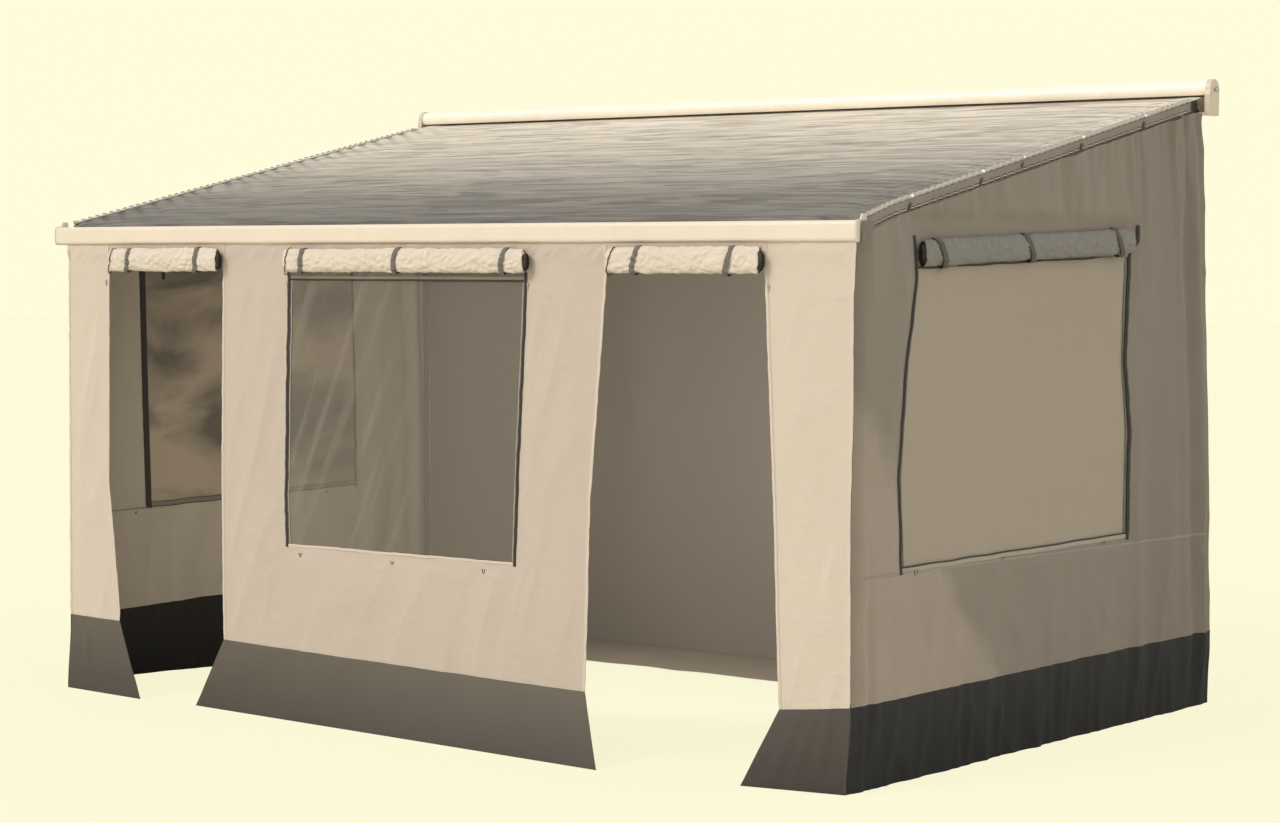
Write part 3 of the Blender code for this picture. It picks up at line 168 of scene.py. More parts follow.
def new_finish(name, colour, roughness, metallic=0.0, **surface):
    """A Principled material: the material, its tree and its surface node."""
    made = bpy.data.materials.new(name)
    made.use_nodes = True
    shader = made.node_tree.nodes["Principled BSDF"]
    shader.inputs["Base Color"].default_value = (*colour, 1)
    shader.inputs["Roughness"].default_value = roughness
    shader.inputs["Metallic"].default_value = metallic
    for socket, value in surface.items():
        shader.inputs[socket.replace("_", " ")].default_value = value
    return made, made.node_tree, shader


def raise_grain(tree, source, output, shader, depth, strength=1.0):
    """A bump of this depth in metres, from a height between 0 and 1."""
    bump = lay(tree, "ShaderNodeBump", {"Distance": depth, "Strength": strength})
    wire(tree, (source, output, bump, "Height"), (bump, "Normal", shader, "Normal"))


coat_effect, coat_in, coat_out = effect(
    "coat_effect",
    [("Colour", "NodeSocketColor", (0.8, 0.7, 0.6, 1)), ("Streaks", "NodeSocketFloat", 0.5)],
    [("Colour", "NodeSocketColor"), ("Roughness", "NodeSocketFloat"), ("Height", "NodeSocketFloat")],
)
coat_place = lay(coat_effect, "ShaderNodeTexCoord")
coat_long = lay(coat_effect, "ShaderNodeMapping", {"Scale": (26, 26, 2.2)})
coat_streaks = lay(coat_effect, "ShaderNodeTexNoise", {"Scale": 1.0, "Detail": 5, "Roughness": 0.6})
coat_peel = lay(coat_effect, "ShaderNodeTexNoise", {"Scale": 420, "Detail": 2})
coat_clouds = lay(coat_effect, "ShaderNodeTexNoise", {"Scale": 3.5, "Detail": 4})
coat_share = lay(coat_effect, "ShaderNodeMapRange", {"From Min": 0.45, "From Max": 0.8, "To Max": 0.30})
coat_amount = lay(coat_effect, "ShaderNodeMath", operation="MULTIPLY")
coat_soil = lay(coat_effect, "ShaderNodeMix", {"B": (0.42, 0.36, 0.28, 1)}, data_type="RGBA")
coat_tone = lay(coat_effect, "ShaderNodeMapRange", {"To Min": 0.94, "To Max": 1.05})
coat_tinted = lay(coat_effect, "ShaderNodeVectorMath", operation="SCALE")
coat_gloss = lay(coat_effect, "ShaderNodeMapRange", {"To Min": 0.28, "To Max": 0.46})
wire(
    coat_effect,
    (coat_place, "Object", coat_long, "Vector"),
    (coat_long, "Vector", coat_streaks, "Vector"),
    (coat_place, "Object", coat_peel, "Vector"),
    (coat_place, "Object", coat_clouds, "Vector"),
    (coat_streaks, "Fac", coat_share, "Value"),
    (coat_share, "Result", coat_amount, 0),
    (coat_in, "Streaks", coat_amount, 1),
    (coat_in, "Colour", coat_soil, "A"),
    (coat_amount, "Value", coat_soil, "Factor"),
    (coat_clouds, "Fac", coat_tone, "Value"),
    (coat_soil, "Result", coat_tinted, 0),
    (coat_tone, "Result", coat_tinted, "Scale"),
    (coat_tinted, "Vector", coat_out, "Colour"),
    (coat_clouds, "Fac", coat_gloss, "Value"),
    (coat_gloss, "Result", coat_out, "Roughness"),
    (coat_peel, "Fac", coat_out, "Height"),
)


def powder_coat(name, colour, streaks):
    made, tree, shader = new_finish(name, colour, 0.36)
    coat = lay(tree, "ShaderNodeGroup", node_tree=coat_effect)
    coat.inputs["Colour"].default_value = (*colour, 1)
    coat.inputs["Streaks"].default_value = streaks
    wire(tree, (coat, "Colour", shader, "Base Color"), (coat, "Roughness", shader, "Roughness"))
    raise_grain(tree, coat, "Height", shader, 0.0002)
    return made


def refinish(material, *names):
    for name in names:
        carried = bpy.data.objects[name]
        for slot in carried.material_slots:
            slot.material = material


cream_coat = powder_coat("cream_coat", (0.99, 0.89, 0.73), 0.3)
cap_coat = powder_coat("cap_coat", (0.66, 0.57, 0.44), 0.6)
bracket_coat = powder_coat("bracket_coat", (0.60, 0.55, 0.46), 0.8)
refinish(cream_coat, "case_housing")
refinish(cap_coat, "case_cap_left", "case_cap_right")
refinish(bracket_coat, "wall_bracket_left", "wall_bracket_right")

# Inside the case turns the roller tube, of drawn aluminium, on a plastic gear cartridge. The crank hooks into
# the steel eye below the right cap.
metal_effect, metal_in, metal_out = effect(
    "metal_effect",
    [("Colour", "NodeSocketColor", (0.6, 0.6, 0.6, 1)), ("Lines", "NodeSocketVector", (400, 400, 3))],
    [("Colour", "NodeSocketColor"), ("Roughness", "NodeSocketFloat"), ("Height", "NodeSocketFloat")],
)
metal_place = lay(metal_effect, "ShaderNodeTexCoord")
metal_stretch = lay(metal_effect, "ShaderNodeVectorMath", operation="MULTIPLY")
metal_lines = lay(metal_effect, "ShaderNodeTexNoise", {"Scale": 1.0, "Detail": 3})
metal_dull = lay(metal_effect, "ShaderNodeTexNoise", {"Scale": 9.0, "Detail": 6})
metal_tone = lay(metal_effect, "ShaderNodeMapRange", {"To Min": 0.82, "To Max": 1.08})
metal_shade = lay(metal_effect, "ShaderNodeVectorMath", operation="SCALE")
metal_gloss = lay(metal_effect, "ShaderNodeMapRange", {"To Min": 0.22, "To Max": 0.50})
wire(
    metal_effect,
    (metal_place, "Object", metal_stretch, 0),
    (metal_in, "Lines", metal_stretch, 1),
    (metal_stretch, "Vector", metal_lines, "Vector"),
    (metal_place, "Object", metal_dull, "Vector"),
    (metal_dull, "Fac", metal_tone, "Value"),
    (metal_in, "Colour", metal_shade, 0),
    (metal_tone, "Result", metal_shade, "Scale"),
    (metal_shade, "Vector", metal_out, "Colour"),
    (metal_dull, "Fac", metal_gloss, "Value"),
    (metal_gloss, "Result", metal_out, "Roughness"),
    (metal_lines, "Fac", metal_out, "Height"),
)


def drawn_metal(name, colour, lines):
    made, tree, shader = new_finish(name, colour, 0.35, 1.0)
    metal = lay(tree, "ShaderNodeGroup", node_tree=metal_effect)
    metal.inputs["Colour"].default_value = (*colour, 1)
    metal.inputs["Lines"].default_value = lines
    wire(tree, (metal, "Colour", shader, "Base Color"), (metal, "Roughness", shader, "Roughness"))
    raise_grain(tree, metal, "Height", shader, 0.00012)
    return made


plastic_effect, plastic_in, plastic_out = effect(
    "plastic_effect",
    [("Colour", "NodeSocketColor", (0.1, 0.1, 0.1, 1)), ("Chalk", "NodeSocketFloat", 0.2)],
    [("Colour", "NodeSocketColor"), ("Roughness", "NodeSocketFloat"), ("Height", "NodeSocketFloat")],
)
plastic_place = lay(plastic_effect, "ShaderNodeTexCoord")
plastic_grain = lay(plastic_effect, "ShaderNodeTexVoronoi", {"Scale": 900})
plastic_bloom = lay(plastic_effect, "ShaderNodeTexNoise", {"Scale": 30, "Detail": 5})
plastic_worn = lay(plastic_effect, "ShaderNodeMapRange", {"From Min": 0.5, "From Max": 0.8})
plastic_share = lay(plastic_effect, "ShaderNodeMath", operation="MULTIPLY")
plastic_chalk = lay(plastic_effect, "ShaderNodeMix", {"B": (0.45, 0.42, 0.37, 1)}, data_type="RGBA")
plastic_gloss = lay(plastic_effect, "ShaderNodeMapRange", {"To Min": 0.38, "To Max": 0.62})
wire(
    plastic_effect,
    (plastic_place, "Object", plastic_grain, "Vector"),
    (plastic_place, "Object", plastic_bloom, "Vector"),
    (plastic_bloom, "Fac", plastic_worn, "Value"),
    (plastic_worn, "Result", plastic_share, 0),
    (plastic_in, "Chalk", plastic_share, 1),
    (plastic_in, "Colour", plastic_chalk, "A"),
    (plastic_share, "Value", plastic_chalk, "Factor"),
    (plastic_chalk, "Result", plastic_out, "Colour"),
    (plastic_bloom, "Fac", plastic_gloss, "Value"),
    (plastic_gloss, "Result", plastic_out, "Roughness"),
    (plastic_grain, "Distance", plastic_out, "Height"),
)


def moulded_plastic(name, colour, chalk):
    made, tree, shader = new_finish(name, colour, 0.5)
    plastic = lay(tree, "ShaderNodeGroup", node_tree=plastic_effect)
    plastic.inputs["Colour"].default_value = (*colour, 1)
    plastic.inputs["Chalk"].default_value = chalk
    wire(tree, (plastic, "Colour", shader, "Base Color"), (plastic, "Roughness", shader, "Roughness"))
    raise_grain(tree, plastic, "Height", shader, 0.0001)
    return made


roller_alloy = drawn_metal("roller_alloy", (0.62, 0.61, 0.58), (3, 500, 500))
eye_steel = drawn_metal("eye_steel", (0.50, 0.49, 0.47), (300, 300, 300))
gear_plastic = moulded_plastic("gear_plastic", (0.05, 0.048, 0.045), 0.2)
refinish(roller_alloy, "roller_tube")
refinish(eye_steel, "winch_eye")
refinish(gear_plastic, "winch_gear_cartridge")

# The lead rail: a smooth cream extrusion along the front edge, with pressed-in end caps. The front wall hangs
# in the groove on its underside.
rail_coat = powder_coat("rail_coat", (0.83, 0.715, 0.575), 0.2)
rail_cap_coat = powder_coat("rail_cap_coat", (0.74, 0.66, 0.53), 0.3)
refinish(rail_coat, "lead_rail")
refinish(rail_cap_coat, "lead_rail_cap_left", "lead_rail_cap_right")

# The canopy: one sheet of coated cloth from the rail's back to the roller, grey at the front and paler towards
# the case. It lies slack in long shallow ripples and is pulled into short puckers along its side seams.
cloth_thickness = 0.0014
slope = 0.2114


def roof_height(depth):
    """Top of the canopy at a depth behind the front wall's face."""
    return 1.986 + slope * depth


def wall_reach(depth):
    """X of the right side wall's outer face."""
    return 1.9875 + 0.054 * depth


def edge_flare(sign, depth):
    """How far the rail's end holds the canopy's edge out, at the front."""
    return (0.042 if sign > 0 else 0.010) * (1 - ramp(0.03, 0.32, depth))


def drift(u, v, seed):
    """Smooth random hills from -1 to 1, about one for each unit of u and v."""
    lattice = np.random.default_rng(seed).uniform(-1, 1, (97, 89))
    low_u, low_v = np.floor(u).astype(int), np.floor(v).astype(int)
    share_u, share_v = u - low_u, v - low_v
    share_u = share_u * share_u * (3 - 2 * share_u)
    share_v = share_v * share_v * (3 - 2 * share_v)
    corners = [lattice[(low_u + i) % 97, (low_v + j) % 89] for j in (0, 1) for i in (0, 1)]
    near = corners[0] * (1 - share_u) + corners[1] * share_u
    far = corners[2] * (1 - share_u) + corners[3] * share_u
    return near * (1 - share_v) + far * share_v


def ramp(low, high, value):
    """0 below low, 1 above high, and a soft step between."""
    share = np.clip((value - low) / (high - low), 0, 1)
    return share * share * (3 - 2 * share)


def grid_mesh(name, points, maps, finish, flip=False, open_cells=None, wrap=False):
    """A mesh through a net of points, rows by columns. maps are its UV layers, two numbers for each point."""
    rows, columns = points.shape[:2]
    index = np.arange(rows * columns).reshape(rows, columns)
    if wrap:
        index = np.concatenate([index, index[:, :1]], axis=1)
    faces = np.stack([index[:-1, :-1], index[:-1, 1:], index[1:, 1:], index[1:, :-1]], axis=-1)
    if open_cells is not None:
        faces = faces[~open_cells]
    faces = faces.reshape(-1, 4)
    if flip:
        faces = faces[:, ::-1]
    used, faces = np.unique(faces, return_inverse=True)
    faces = faces.reshape(-1, 4)
    mesh = bpy.data.meshes.new(name)
    mesh.from_pydata(points.reshape(-1, 3)[used].tolist(), [], faces.tolist())
    for layer, values in maps.items():
        made = mesh.uv_layers.new(name=layer)
        made.data.foreach_set("uv", values.reshape(-1, 2)[used][faces].ravel())
    mesh.shade_smooth()
    mesh.materials.append(finish)
    made = bpy.data.objects.new(name, mesh)
    scene.collection.objects.link(made)
    return made


def sew_cloth(name, points, flat, finish, replaces, extra=None, flip=False, open_cells=None,
              thick=cloth_thickness, body="frame"):
    """One sheet of cloth: points are its outer face, flat the same net on the cutting table, in metres."""
    maps = {"cloth": flat, **(extra or {})}
    made = grid_mesh(name, points, maps, finish, flip, open_cells)
    shell = made.modifiers.new("thickness", "SOLIDIFY")
    shell.thickness = thick
    shell.offset = -1
    made.modifiers.new("normals", "WEIGHTED_NORMAL")
    a, b, c, d = flat[:-1, :-1], flat[:-1, 1:], flat[1:, 1:], flat[1:, :-1]
    p, q = c - a, d - b
    cells = np.abs(p[..., 0] * q[..., 1] - p[..., 1] * q[..., 0]) / 2
    if open_cells is not None:
        cells = cells[~open_cells]
    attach(made, body)
    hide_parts(*replaces)
    return made


weave_effect, weave_in, weave_out = effect(
    "weave_effect",
    [
        ("Colour", "NodeSocketColor", (0.5, 0.5, 0.5, 1)),
        ("Place", "NodeSocketVector", None),
        ("Mottle", "NodeSocketFloat", 0.06),
        ("Creases", "NodeSocketFloat", 0.5),
        ("Fineness", "NodeSocketFloat", 1.0),
    ],
    [("Colour", "NodeSocketColor"), ("Roughness", "NodeSocketFloat"), ("Height", "NodeSocketFloat")],
)
weave_apart = lay(weave_effect, "ShaderNodeSeparateXYZ")
warp_angle = lay(weave_effect, "ShaderNodeMath", {1: 4200.0}, operation="MULTIPLY")
weft_angle = lay(weave_effect, "ShaderNodeMath", {1: 4200.0}, operation="MULTIPLY")
warp_wave = lay(weave_effect, "ShaderNodeMath", operation="SINE")
weft_wave = lay(weave_effect, "ShaderNodeMath", operation="SINE")
weave_cross = lay(weave_effect, "ShaderNodeMath", operation="MULTIPLY")
slub_place = lay(weave_effect, "ShaderNodeMapping", {"Scale": (9, 700, 1)})
slub = lay(weave_effect, "ShaderNodeTexNoise", {"Scale": 1.0, "Detail": 2})
cloud = lay(weave_effect, "ShaderNodeTexNoise", {"Scale": 2.3, "Detail": 5, "Roughness": 0.55})
crease_place = lay(weave_effect, "ShaderNodeVectorMath", operation="SCALE")
crease_warp = lay(weave_effect, "ShaderNodeTexNoise", {"Scale": 7.0, "Detail": 3, "Distortion": 1.4})
crease_fine = lay(weave_effect, "ShaderNodeTexNoise", {"Scale": 34.0, "Detail": 4, "Distortion": 0.8})
tone_sum = lay(weave_effect, "ShaderNodeMath", operation="ADD")
tone_even = lay(weave_effect, "ShaderNodeMath", {1: 1.0}, operation="SUBTRACT")
tone_amount = lay(weave_effect, "ShaderNodeMath", operation="MULTIPLY")
tone_scale = lay(weave_effect, "ShaderNodeMath", {1: 1.0}, operation="ADD")
weave_tinted = lay(weave_effect, "ShaderNodeVectorMath", operation="SCALE")
weave_gloss = lay(weave_effect, "ShaderNodeMapRange", {"To Min": 0.62, "To Max": 0.86})
crease_sum = lay(weave_effect, "ShaderNodeMath", {2: 0.0}, operation="MULTIPLY_ADD")
crease_part = lay(weave_effect, "ShaderNodeMath", {1: 0.35}, operation="MULTIPLY")
crease_scaled = lay(weave_effect, "ShaderNodeMath", operation="MULTIPLY")
thread_part = lay(weave_effect, "ShaderNodeMath", {1: 0.030}, operation="MULTIPLY")
height_sum = lay(weave_effect, "ShaderNodeMath", operation="ADD")
wire(
    weave_effect,
    (weave_in, "Place", weave_apart, "Vector"),
    (weave_apart, "X", warp_angle, 0),
    (weave_apart, "Y", weft_angle, 0),
    (warp_angle, "Value", warp_wave, 0),
    (weft_angle, "Value", weft_wave, 0),
    (warp_wave, "Value", weave_cross, 0),
    (weft_wave, "Value", weave_cross, 1),
    (weave_in, "Place", slub_place, "Vector"),
    (slub_place, "Vector", slub, "Vector"),
    (weave_in, "Place", cloud, "Vector"),
    (weave_in, "Place", crease_place, 0),
    (weave_in, "Fineness", crease_place, "Scale"),
    (crease_place, "Vector", crease_warp, "Vector"),
    (crease_place, "Vector", crease_fine, "Vector"),
    (slub, "Fac", tone_sum, 0),
    (cloud, "Fac", tone_sum, 1),
    (tone_sum, "Value", tone_even, 0),
    (tone_even, "Value", tone_amount, 0),
    (weave_in, "Mottle", tone_amount, 1),
    (tone_amount, "Value", tone_scale, 0),
    (weave_in, "Colour", weave_tinted, 0),
    (tone_scale, "Value", weave_tinted, "Scale"),
    (weave_tinted, "Vector", weave_out, "Colour"),
    (cloud, "Fac", weave_gloss, "Value"),
    (weave_gloss, "Result", weave_out, "Roughness"),
    (crease_fine, "Fac", crease_part, 0),
    (crease_warp, "Fac", crease_sum, 0),
    (crease_part, "Value", crease_sum, 2),
    (crease_sum, "Value", crease_scaled, 0),
    (weave_in, "Creases", crease_scaled, 1),
    (weave_cross, "Value", thread_part, 0),
    (thread_part, "Value", height_sum, 0),
    (crease_scaled, "Value", height_sum, 1),
    (height_sum, "Value", weave_out, "Height"),
)
crease_sum.inputs[1].default_value = 1.0


def woven(name, colour, mottle=0.06, creases=0.5, depth=0.004, roughness=0.75, colour_from=None, fineness=1.0,
          **surface):
    """A cloth material. colour_from may build the colour in the tree: it returns (node, output)."""
    made, tree, shader = new_finish(name, colour, roughness, **surface)
    place = lay(tree, "ShaderNodeUVMap", uv_map="cloth")
    weave = lay(tree, "ShaderNodeGroup", node_tree=weave_effect)
    weave.inputs["Colour"].default_value = (*colour, 1)
    weave.inputs["Mottle"].default_value = mottle
    weave.inputs["Creases"].default_value = creases
    weave.inputs["Fineness"].default_value = fineness
    if colour_from:
        giver, output = colour_from(tree)
        wire(tree, (giver, output, weave, "Colour"))
    wire(
        tree,
        (place, "UV", weave, "Place"),
        (weave, "Colour", shader, "Base Color"),
        (weave, "Roughness", shader, "Roughness"),
    )
    raise_grain(tree, weave, "Height", shader, depth)
    return made


def roof_shades(tree):
    """Grey to cream along the depth, with wavy dark streaks that are partly the cloth's print and partly painted
    shade of its slack ripples. The hollows of the side puckers get painted shade.
    """
    layer = lay(tree, "ShaderNodeUVMap", uv_map="ripples")
    place = lay(tree, "ShaderNodeUVMap", uv_map="cloth")
    apart = lay(tree, "ShaderNodeSeparateXYZ")
    behind = lay(tree, "ShaderNodeMath", {1: 1 / (canopy_end * math.hypot(1, slope))}, operation="MULTIPLY")
    shades = lay(tree, "ShaderNodeValToRGB")
    stops = ((0.0, (0.186, 0.171, 0.144)), (0.22, (0.252, 0.230, 0.191)), (0.5, (0.50, 0.45, 0.37)),
             (0.78, (0.68, 0.605, 0.49)), (1.0, (0.76, 0.675, 0.545)))
    while len(shades.color_ramp.elements) < len(stops):
        shades.color_ramp.elements.new(0.5)
    for element, (at, colour) in zip(shades.color_ramp.elements, stops, strict=True):
        element.position = at
        element.color = (*colour, 1)
    long_place = lay(tree, "ShaderNodeMapping", {"Scale": (0.95, 12, 1)})
    long_streaks = lay(tree, "ShaderNodeTexNoise", {"Scale": 1.0, "Detail": 2.5, "Roughness": 0.5, "Distortion": 2.4})
    short_place = lay(tree, "ShaderNodeMapping", {"Scale": (2.0, 27, 1)})
    short_streaks = lay(tree, "ShaderNodeTexNoise", {"Scale": 1.0, "Detail": 2, "Roughness": 0.5, "Distortion": 2.2})
    # Streak tones: partly the cloth's print, partly painted shade of the slack ripples.
    long_tone = lay(tree, "ShaderNodeMapRange", {"From Min": 0.41, "From Max": 0.52, "To Min": 0.72, "To Max": 1.03})
    short_tone = lay(tree, "ShaderNodeMapRange", {"From Min": 0.41, "From Max": 0.50, "To Min": 0.74, "To Max": 1.03})
    gather_layer = lay(tree, "ShaderNodeUVMap", uv_map="puckers")
    gather_apart = lay(tree, "ShaderNodeSeparateXYZ")
    # Painted shade: the colour is darker where the side puckers dip.
    pucker_painted_shade = lay(tree, "ShaderNodeMapRange", {"From Min": -0.6, "From Max": 0.1, "To Min": 0.62, "To Max": 1.0})
    gathered = lay(tree, "ShaderNodeMath", operation="MULTIPLY")
    tone = lay(tree, "ShaderNodeMath", operation="MULTIPLY")
    shaded = lay(tree, "ShaderNodeVectorMath", operation="SCALE")
    wire(
        tree,
        (place, "UV", apart, "Vector"),
        (apart, "Y", behind, 0),
        (behind, "Value", shades, "Fac"),
        (layer, "UV", long_place, "Vector"),
        (layer, "UV", short_place, "Vector"),
        (long_place, "Vector", long_streaks, "Vector"),
        (short_place, "Vector", short_streaks, "Vector"),
        (long_streaks, "Fac", long_tone, "Value"),
        (short_streaks, "Fac", short_tone, "Value"),
        (long_tone, "Result", tone, 0),
        (short_tone, "Result", tone, 1),
        (gather_layer, "UV", gather_apart, "Vector"),
        (gather_apart, "X", pucker_painted_shade, "Value"),
        (tone, "Value", gathered, 0),
        (pucker_painted_shade, "Result", gathered, 1),
        (shades, "Color", shaded, 0),
        (gathered, "Value", shaded, "Scale"),
    )
    return shaded, "Vector"


canopy_start, canopy_end = 0.0553, 2.540
canopy_across, canopy_depth = np.meshgrid(np.linspace(-1, 1, 321), np.linspace(canopy_start, canopy_end, 261))
canopy_reach = wall_reach(canopy_depth) + np.where(
    canopy_across > 0, edge_flare(1, canopy_depth), edge_flare(-1, canopy_depth)
)
canopy_x = canopy_across * canopy_reach
canopy_from_side = canopy_reach - np.abs(canopy_x)
canopy_warped = (
    canopy_depth
    + 0.085 * drift(canopy_x * 0.45 + 3, canopy_depth * 0.7, 11)
    + 0.030 * drift(canopy_x * 1.1, canopy_depth * 1.9, 12)
    + 0.13 * np.exp(-canopy_from_side / 0.16)
)
canopy_long = np.sin(2 * np.pi * canopy_warped / 0.235 + 1.5 * drift(canopy_x * 0.4, canopy_depth * 1.2, 13))
canopy_short = drift(canopy_x * 0.95 + 5, canopy_warped * 13, 14)
canopy_fine = drift(canopy_x * 1.7 + 9, canopy_warped * 31, 15)
canopy_slack = (
    ramp(0, 0.10, canopy_depth - canopy_start)
    * ramp(0, 0.16, canopy_end - 0.05 - canopy_depth)
    * ramp(0.0, 0.12, canopy_from_side)
)
canopy_pucker = (
    np.sin(2 * np.pi * (canopy_depth + 0.75 * canopy_from_side) / 0.092 + 2.4 * drift(canopy_depth * 5, canopy_x, 16))
    * np.exp(-canopy_from_side / 0.11)
    * ramp(0.004, 0.03, canopy_from_side)
    * ramp(0, 0.12, canopy_depth - canopy_start)
    * ramp(0, 0.2, canopy_end - 0.05 - canopy_depth)
)
canopy_rise = (
    canopy_slack * (0.0022 * canopy_long + 0.0036 * canopy_short + 0.0022 * canopy_fine) + 0.0058 * canopy_pucker
)
canopy_tuck = 0.0104 * (1 - ramp(0.0, 0.020, canopy_depth - canopy_start))
# Along both sides the cloth rides up over the rafters' hooks.
over_rafters = (
    0.0032
    * np.exp(-(((canopy_from_side - 0.040) / 0.050) ** 2))
    * ramp(0.0, 0.12, canopy_depth - canopy_start)
    * ramp(0.0, 0.03, canopy_end - canopy_depth)
)
canopy_z = roof_height(canopy_depth) - 0.0020 * canopy_slack + canopy_rise + over_rafters - canopy_tuck
canopy_points = np.stack([canopy_x, front_face + canopy_depth, canopy_z], axis=-1)
canopy_cloth = woven("canopy_cloth", (0.4, 0.36, 0.3), 0.05, 0.25, 0.003, 0.6, roof_shades)
canopy = sew_cloth(
    "canopy",
    canopy_points,
    np.stack([canopy_x, canopy_depth * math.hypot(1, slope)], axis=-1),
    canopy_cloth,
    ["roof_canopy"],
    {
        "ripples": np.stack([canopy_x, canopy_warped + 0.012 * canopy_pucker], axis=-1),
        "puckers": np.stack([canopy_pucker, canopy_from_side], axis=-1),
    },
    thick=0.0022,
)

# The strips along the canopy's two side edges: grey cloth under a rounded pale piping, held by small bright
# clips. A double row of stitches runs along the lower edge, where the side wall is zipped on.
sew_effect, sew_in, sew_out = effect(
    "sew_effect",
    [
        ("Across", "NodeSocketFloat", 0.0),
        ("Along", "NodeSocketFloat", 0.0),
        ("Line", "NodeSocketFloat", 0.01),
        ("Width", "NodeSocketFloat", 0.0012),
        ("Stitch", "NodeSocketFloat", 0.006),
    ],
    [("Mask", "NodeSocketFloat")],
)
sew_off = lay(sew_effect, "ShaderNodeMath", operation="SUBTRACT")
sew_near = lay(sew_effect, "ShaderNodeMath", operation="ABSOLUTE")
sew_inside = lay(sew_effect, "ShaderNodeMath", operation="LESS_THAN")
sew_step = lay(sew_effect, "ShaderNodeMath", operation="DIVIDE")
sew_share = lay(sew_effect, "ShaderNodeMath", operation="FRACT")
sew_dash = lay(sew_effect, "ShaderNodeMath", {1: 0.60}, operation="LESS_THAN")
sew_mask = lay(sew_effect, "ShaderNodeMath", operation="MULTIPLY")
wire(
    sew_effect,
    (sew_in, "Across", sew_off, 0),
    (sew_in, "Line", sew_off, 1),
    (sew_off, "Value", sew_near, 0),
    (sew_near, "Value", sew_inside, 0),
    (sew_in, "Width", sew_inside, 1),
    (sew_in, "Along", sew_step, 0),
    (sew_in, "Stitch", sew_step, 1),
    (sew_step, "Value", sew_share, 0),
    (sew_share, "Value", sew_dash, 0),
    (sew_inside, "Value", sew_mask, 0),
    (sew_dash, "Value", sew_mask, 1),
    (sew_mask, "Value", sew_out, "Mask"),
)


def stitched(colour, rows):
    """Rows of stitches over a cloth's colour, each (place across the layer 'seam', thread, half width, length)."""

    def build(tree):
        layer = lay(tree, "ShaderNodeUVMap", uv_map="seam")
        apart = lay(tree, "ShaderNodeSeparateXYZ")
        wire(tree, (layer, "UV", apart, "Vector"))
        giver, output = lay(tree, "ShaderNodeRGB"), "Color"
        giver.outputs[0].default_value = (*colour, 1)
        for line, thread, half_width, stitch in rows:
            row = lay(tree, "ShaderNodeGroup", node_tree=sew_effect)
            row.inputs["Line"].default_value = line
            row.inputs["Width"].default_value = half_width
            row.inputs["Stitch"].default_value = stitch
            over = lay(tree, "ShaderNodeMix", {"B": (*thread, 1)}, data_type="RGBA")
            wire(
                tree,
                (apart, "X", row, "Across"),
                (apart, "Y", row, "Along"),
                (row, "Mask", over, "Factor"),
                (giver, output, over, "A"),
            )
            giver, output = over, "Result"
        return giver, output

    return build


def ribbon(name, path, across, outward, profile, finish, body="frame", lengthwise=None):
    """A strip along a path. profile is its closed section, as (across, out) pairs in metres at each corner."""
    steps = len(path)
    if lengthwise is None:
        gaps = np.linalg.norm(np.diff(path, axis=0), axis=1)
        lengthwise = np.concatenate([[0], np.cumsum(gaps)])
    section = np.asarray(profile, float)
    points = path[:, None] + section[None, :, :1] * across[:, None] + section[None, :, 1:] * outward[:, None]
    flat = np.stack(np.broadcast_arrays(section[None, :, 0], lengthwise[:, None]), axis=-1)
    corners = len(section)
    mesh = bpy.data.meshes.new(name)
    faces = []
    for step in range(steps - 1):
        for corner in range(corners):
            after = (corner + 1) % corners
            row = step * corners
            faces.append((row + corner, row + after, row + corners + after, row + corners + corner))
    faces.append(tuple(range(corners))[::-1])
    faces.append(tuple(range((steps - 1) * corners, steps * corners)))
    mesh.from_pydata(points.reshape(-1, 3).tolist(), [], faces)
    loops = np.empty(len(mesh.loops), int)
    mesh.loops.foreach_get("vertex_index", loops)
    for layer in ("cloth", "seam"):
        made = mesh.uv_layers.new(name=layer)
        made.data.foreach_set("uv", flat.reshape(-1, 2)[loops].ravel())
    tidy = bmesh.new()
    tidy.from_mesh(mesh)
    bmesh.ops.recalc_face_normals(tidy, faces=tidy.faces)
    tidy.to_mesh(mesh)
    tidy.free()
    mesh.shade_smooth()
    mesh.set_sharp_from_angle(angle=math.radians(50))
    mesh.materials.append(finish)
    made = bpy.data.objects.new(name, mesh)
    scene.collection.objects.link(made)
    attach(made, body)
    return made


def tangents(path):
    run = np.gradient(path, axis=0)
    return run / np.linalg.norm(run, axis=1)[:, None]


def unit(vectors):
    return vectors / np.linalg.norm(vectors, axis=-1)[..., None]


strip_start, strip_end = 0.062, 2.410
strip_height = 0.042
strip_colour = (0.265, 0.232, 0.190)
strip_cloth = woven(
    "strip_cloth", strip_colour, 0.05, 0.3, 0.002,
    colour_from=stitched(strip_colour, [
        (0.0130, (0.075, 0.058, 0.042), 0.0026, 0.048), (0.0045, (0.060, 0.046, 0.034), 0.0032, 0.048),
        (0.0088, (0.78, 0.69, 0.56), 0.0018, 0.048),
    ]),
)
piping_finish = woven("piping_finish", (0.49, 0.447, 0.372), 0.05, 0.2, 0.001)
# The left piping is the same piping in a paler colour: painted light that offsets the shade it lies in.
far_piping_painted_lit = woven(
    "far_piping_painted_lit", (0.95, 0.88, 0.74), 0.05, 0.2, 0.001,
    colour_from=stitched((0.95, 0.88, 0.74), [(0.0025, (0.22, 0.19, 0.15), 0.0036, 0.042)]),
)
edge_thread = woven(
    "edge_thread", (0.46, 0.42, 0.345), 0.05, 0.2, 0.001,
    colour_from=stitched((0.46, 0.42, 0.345), [(0.0, (0.15, 0.13, 0.10), 0.0036, 0.042)]),
)
clip_metal = drawn_metal("clip_metal", (0.95, 0.93, 0.88), (200, 200, 200))
tab_web = woven("tab_web", (0.12, 0.098, 0.074), 0.1, 0.3, 0.001)
clip_depths = (0.389, 0.850, 1.131, 1.557, 2.035)


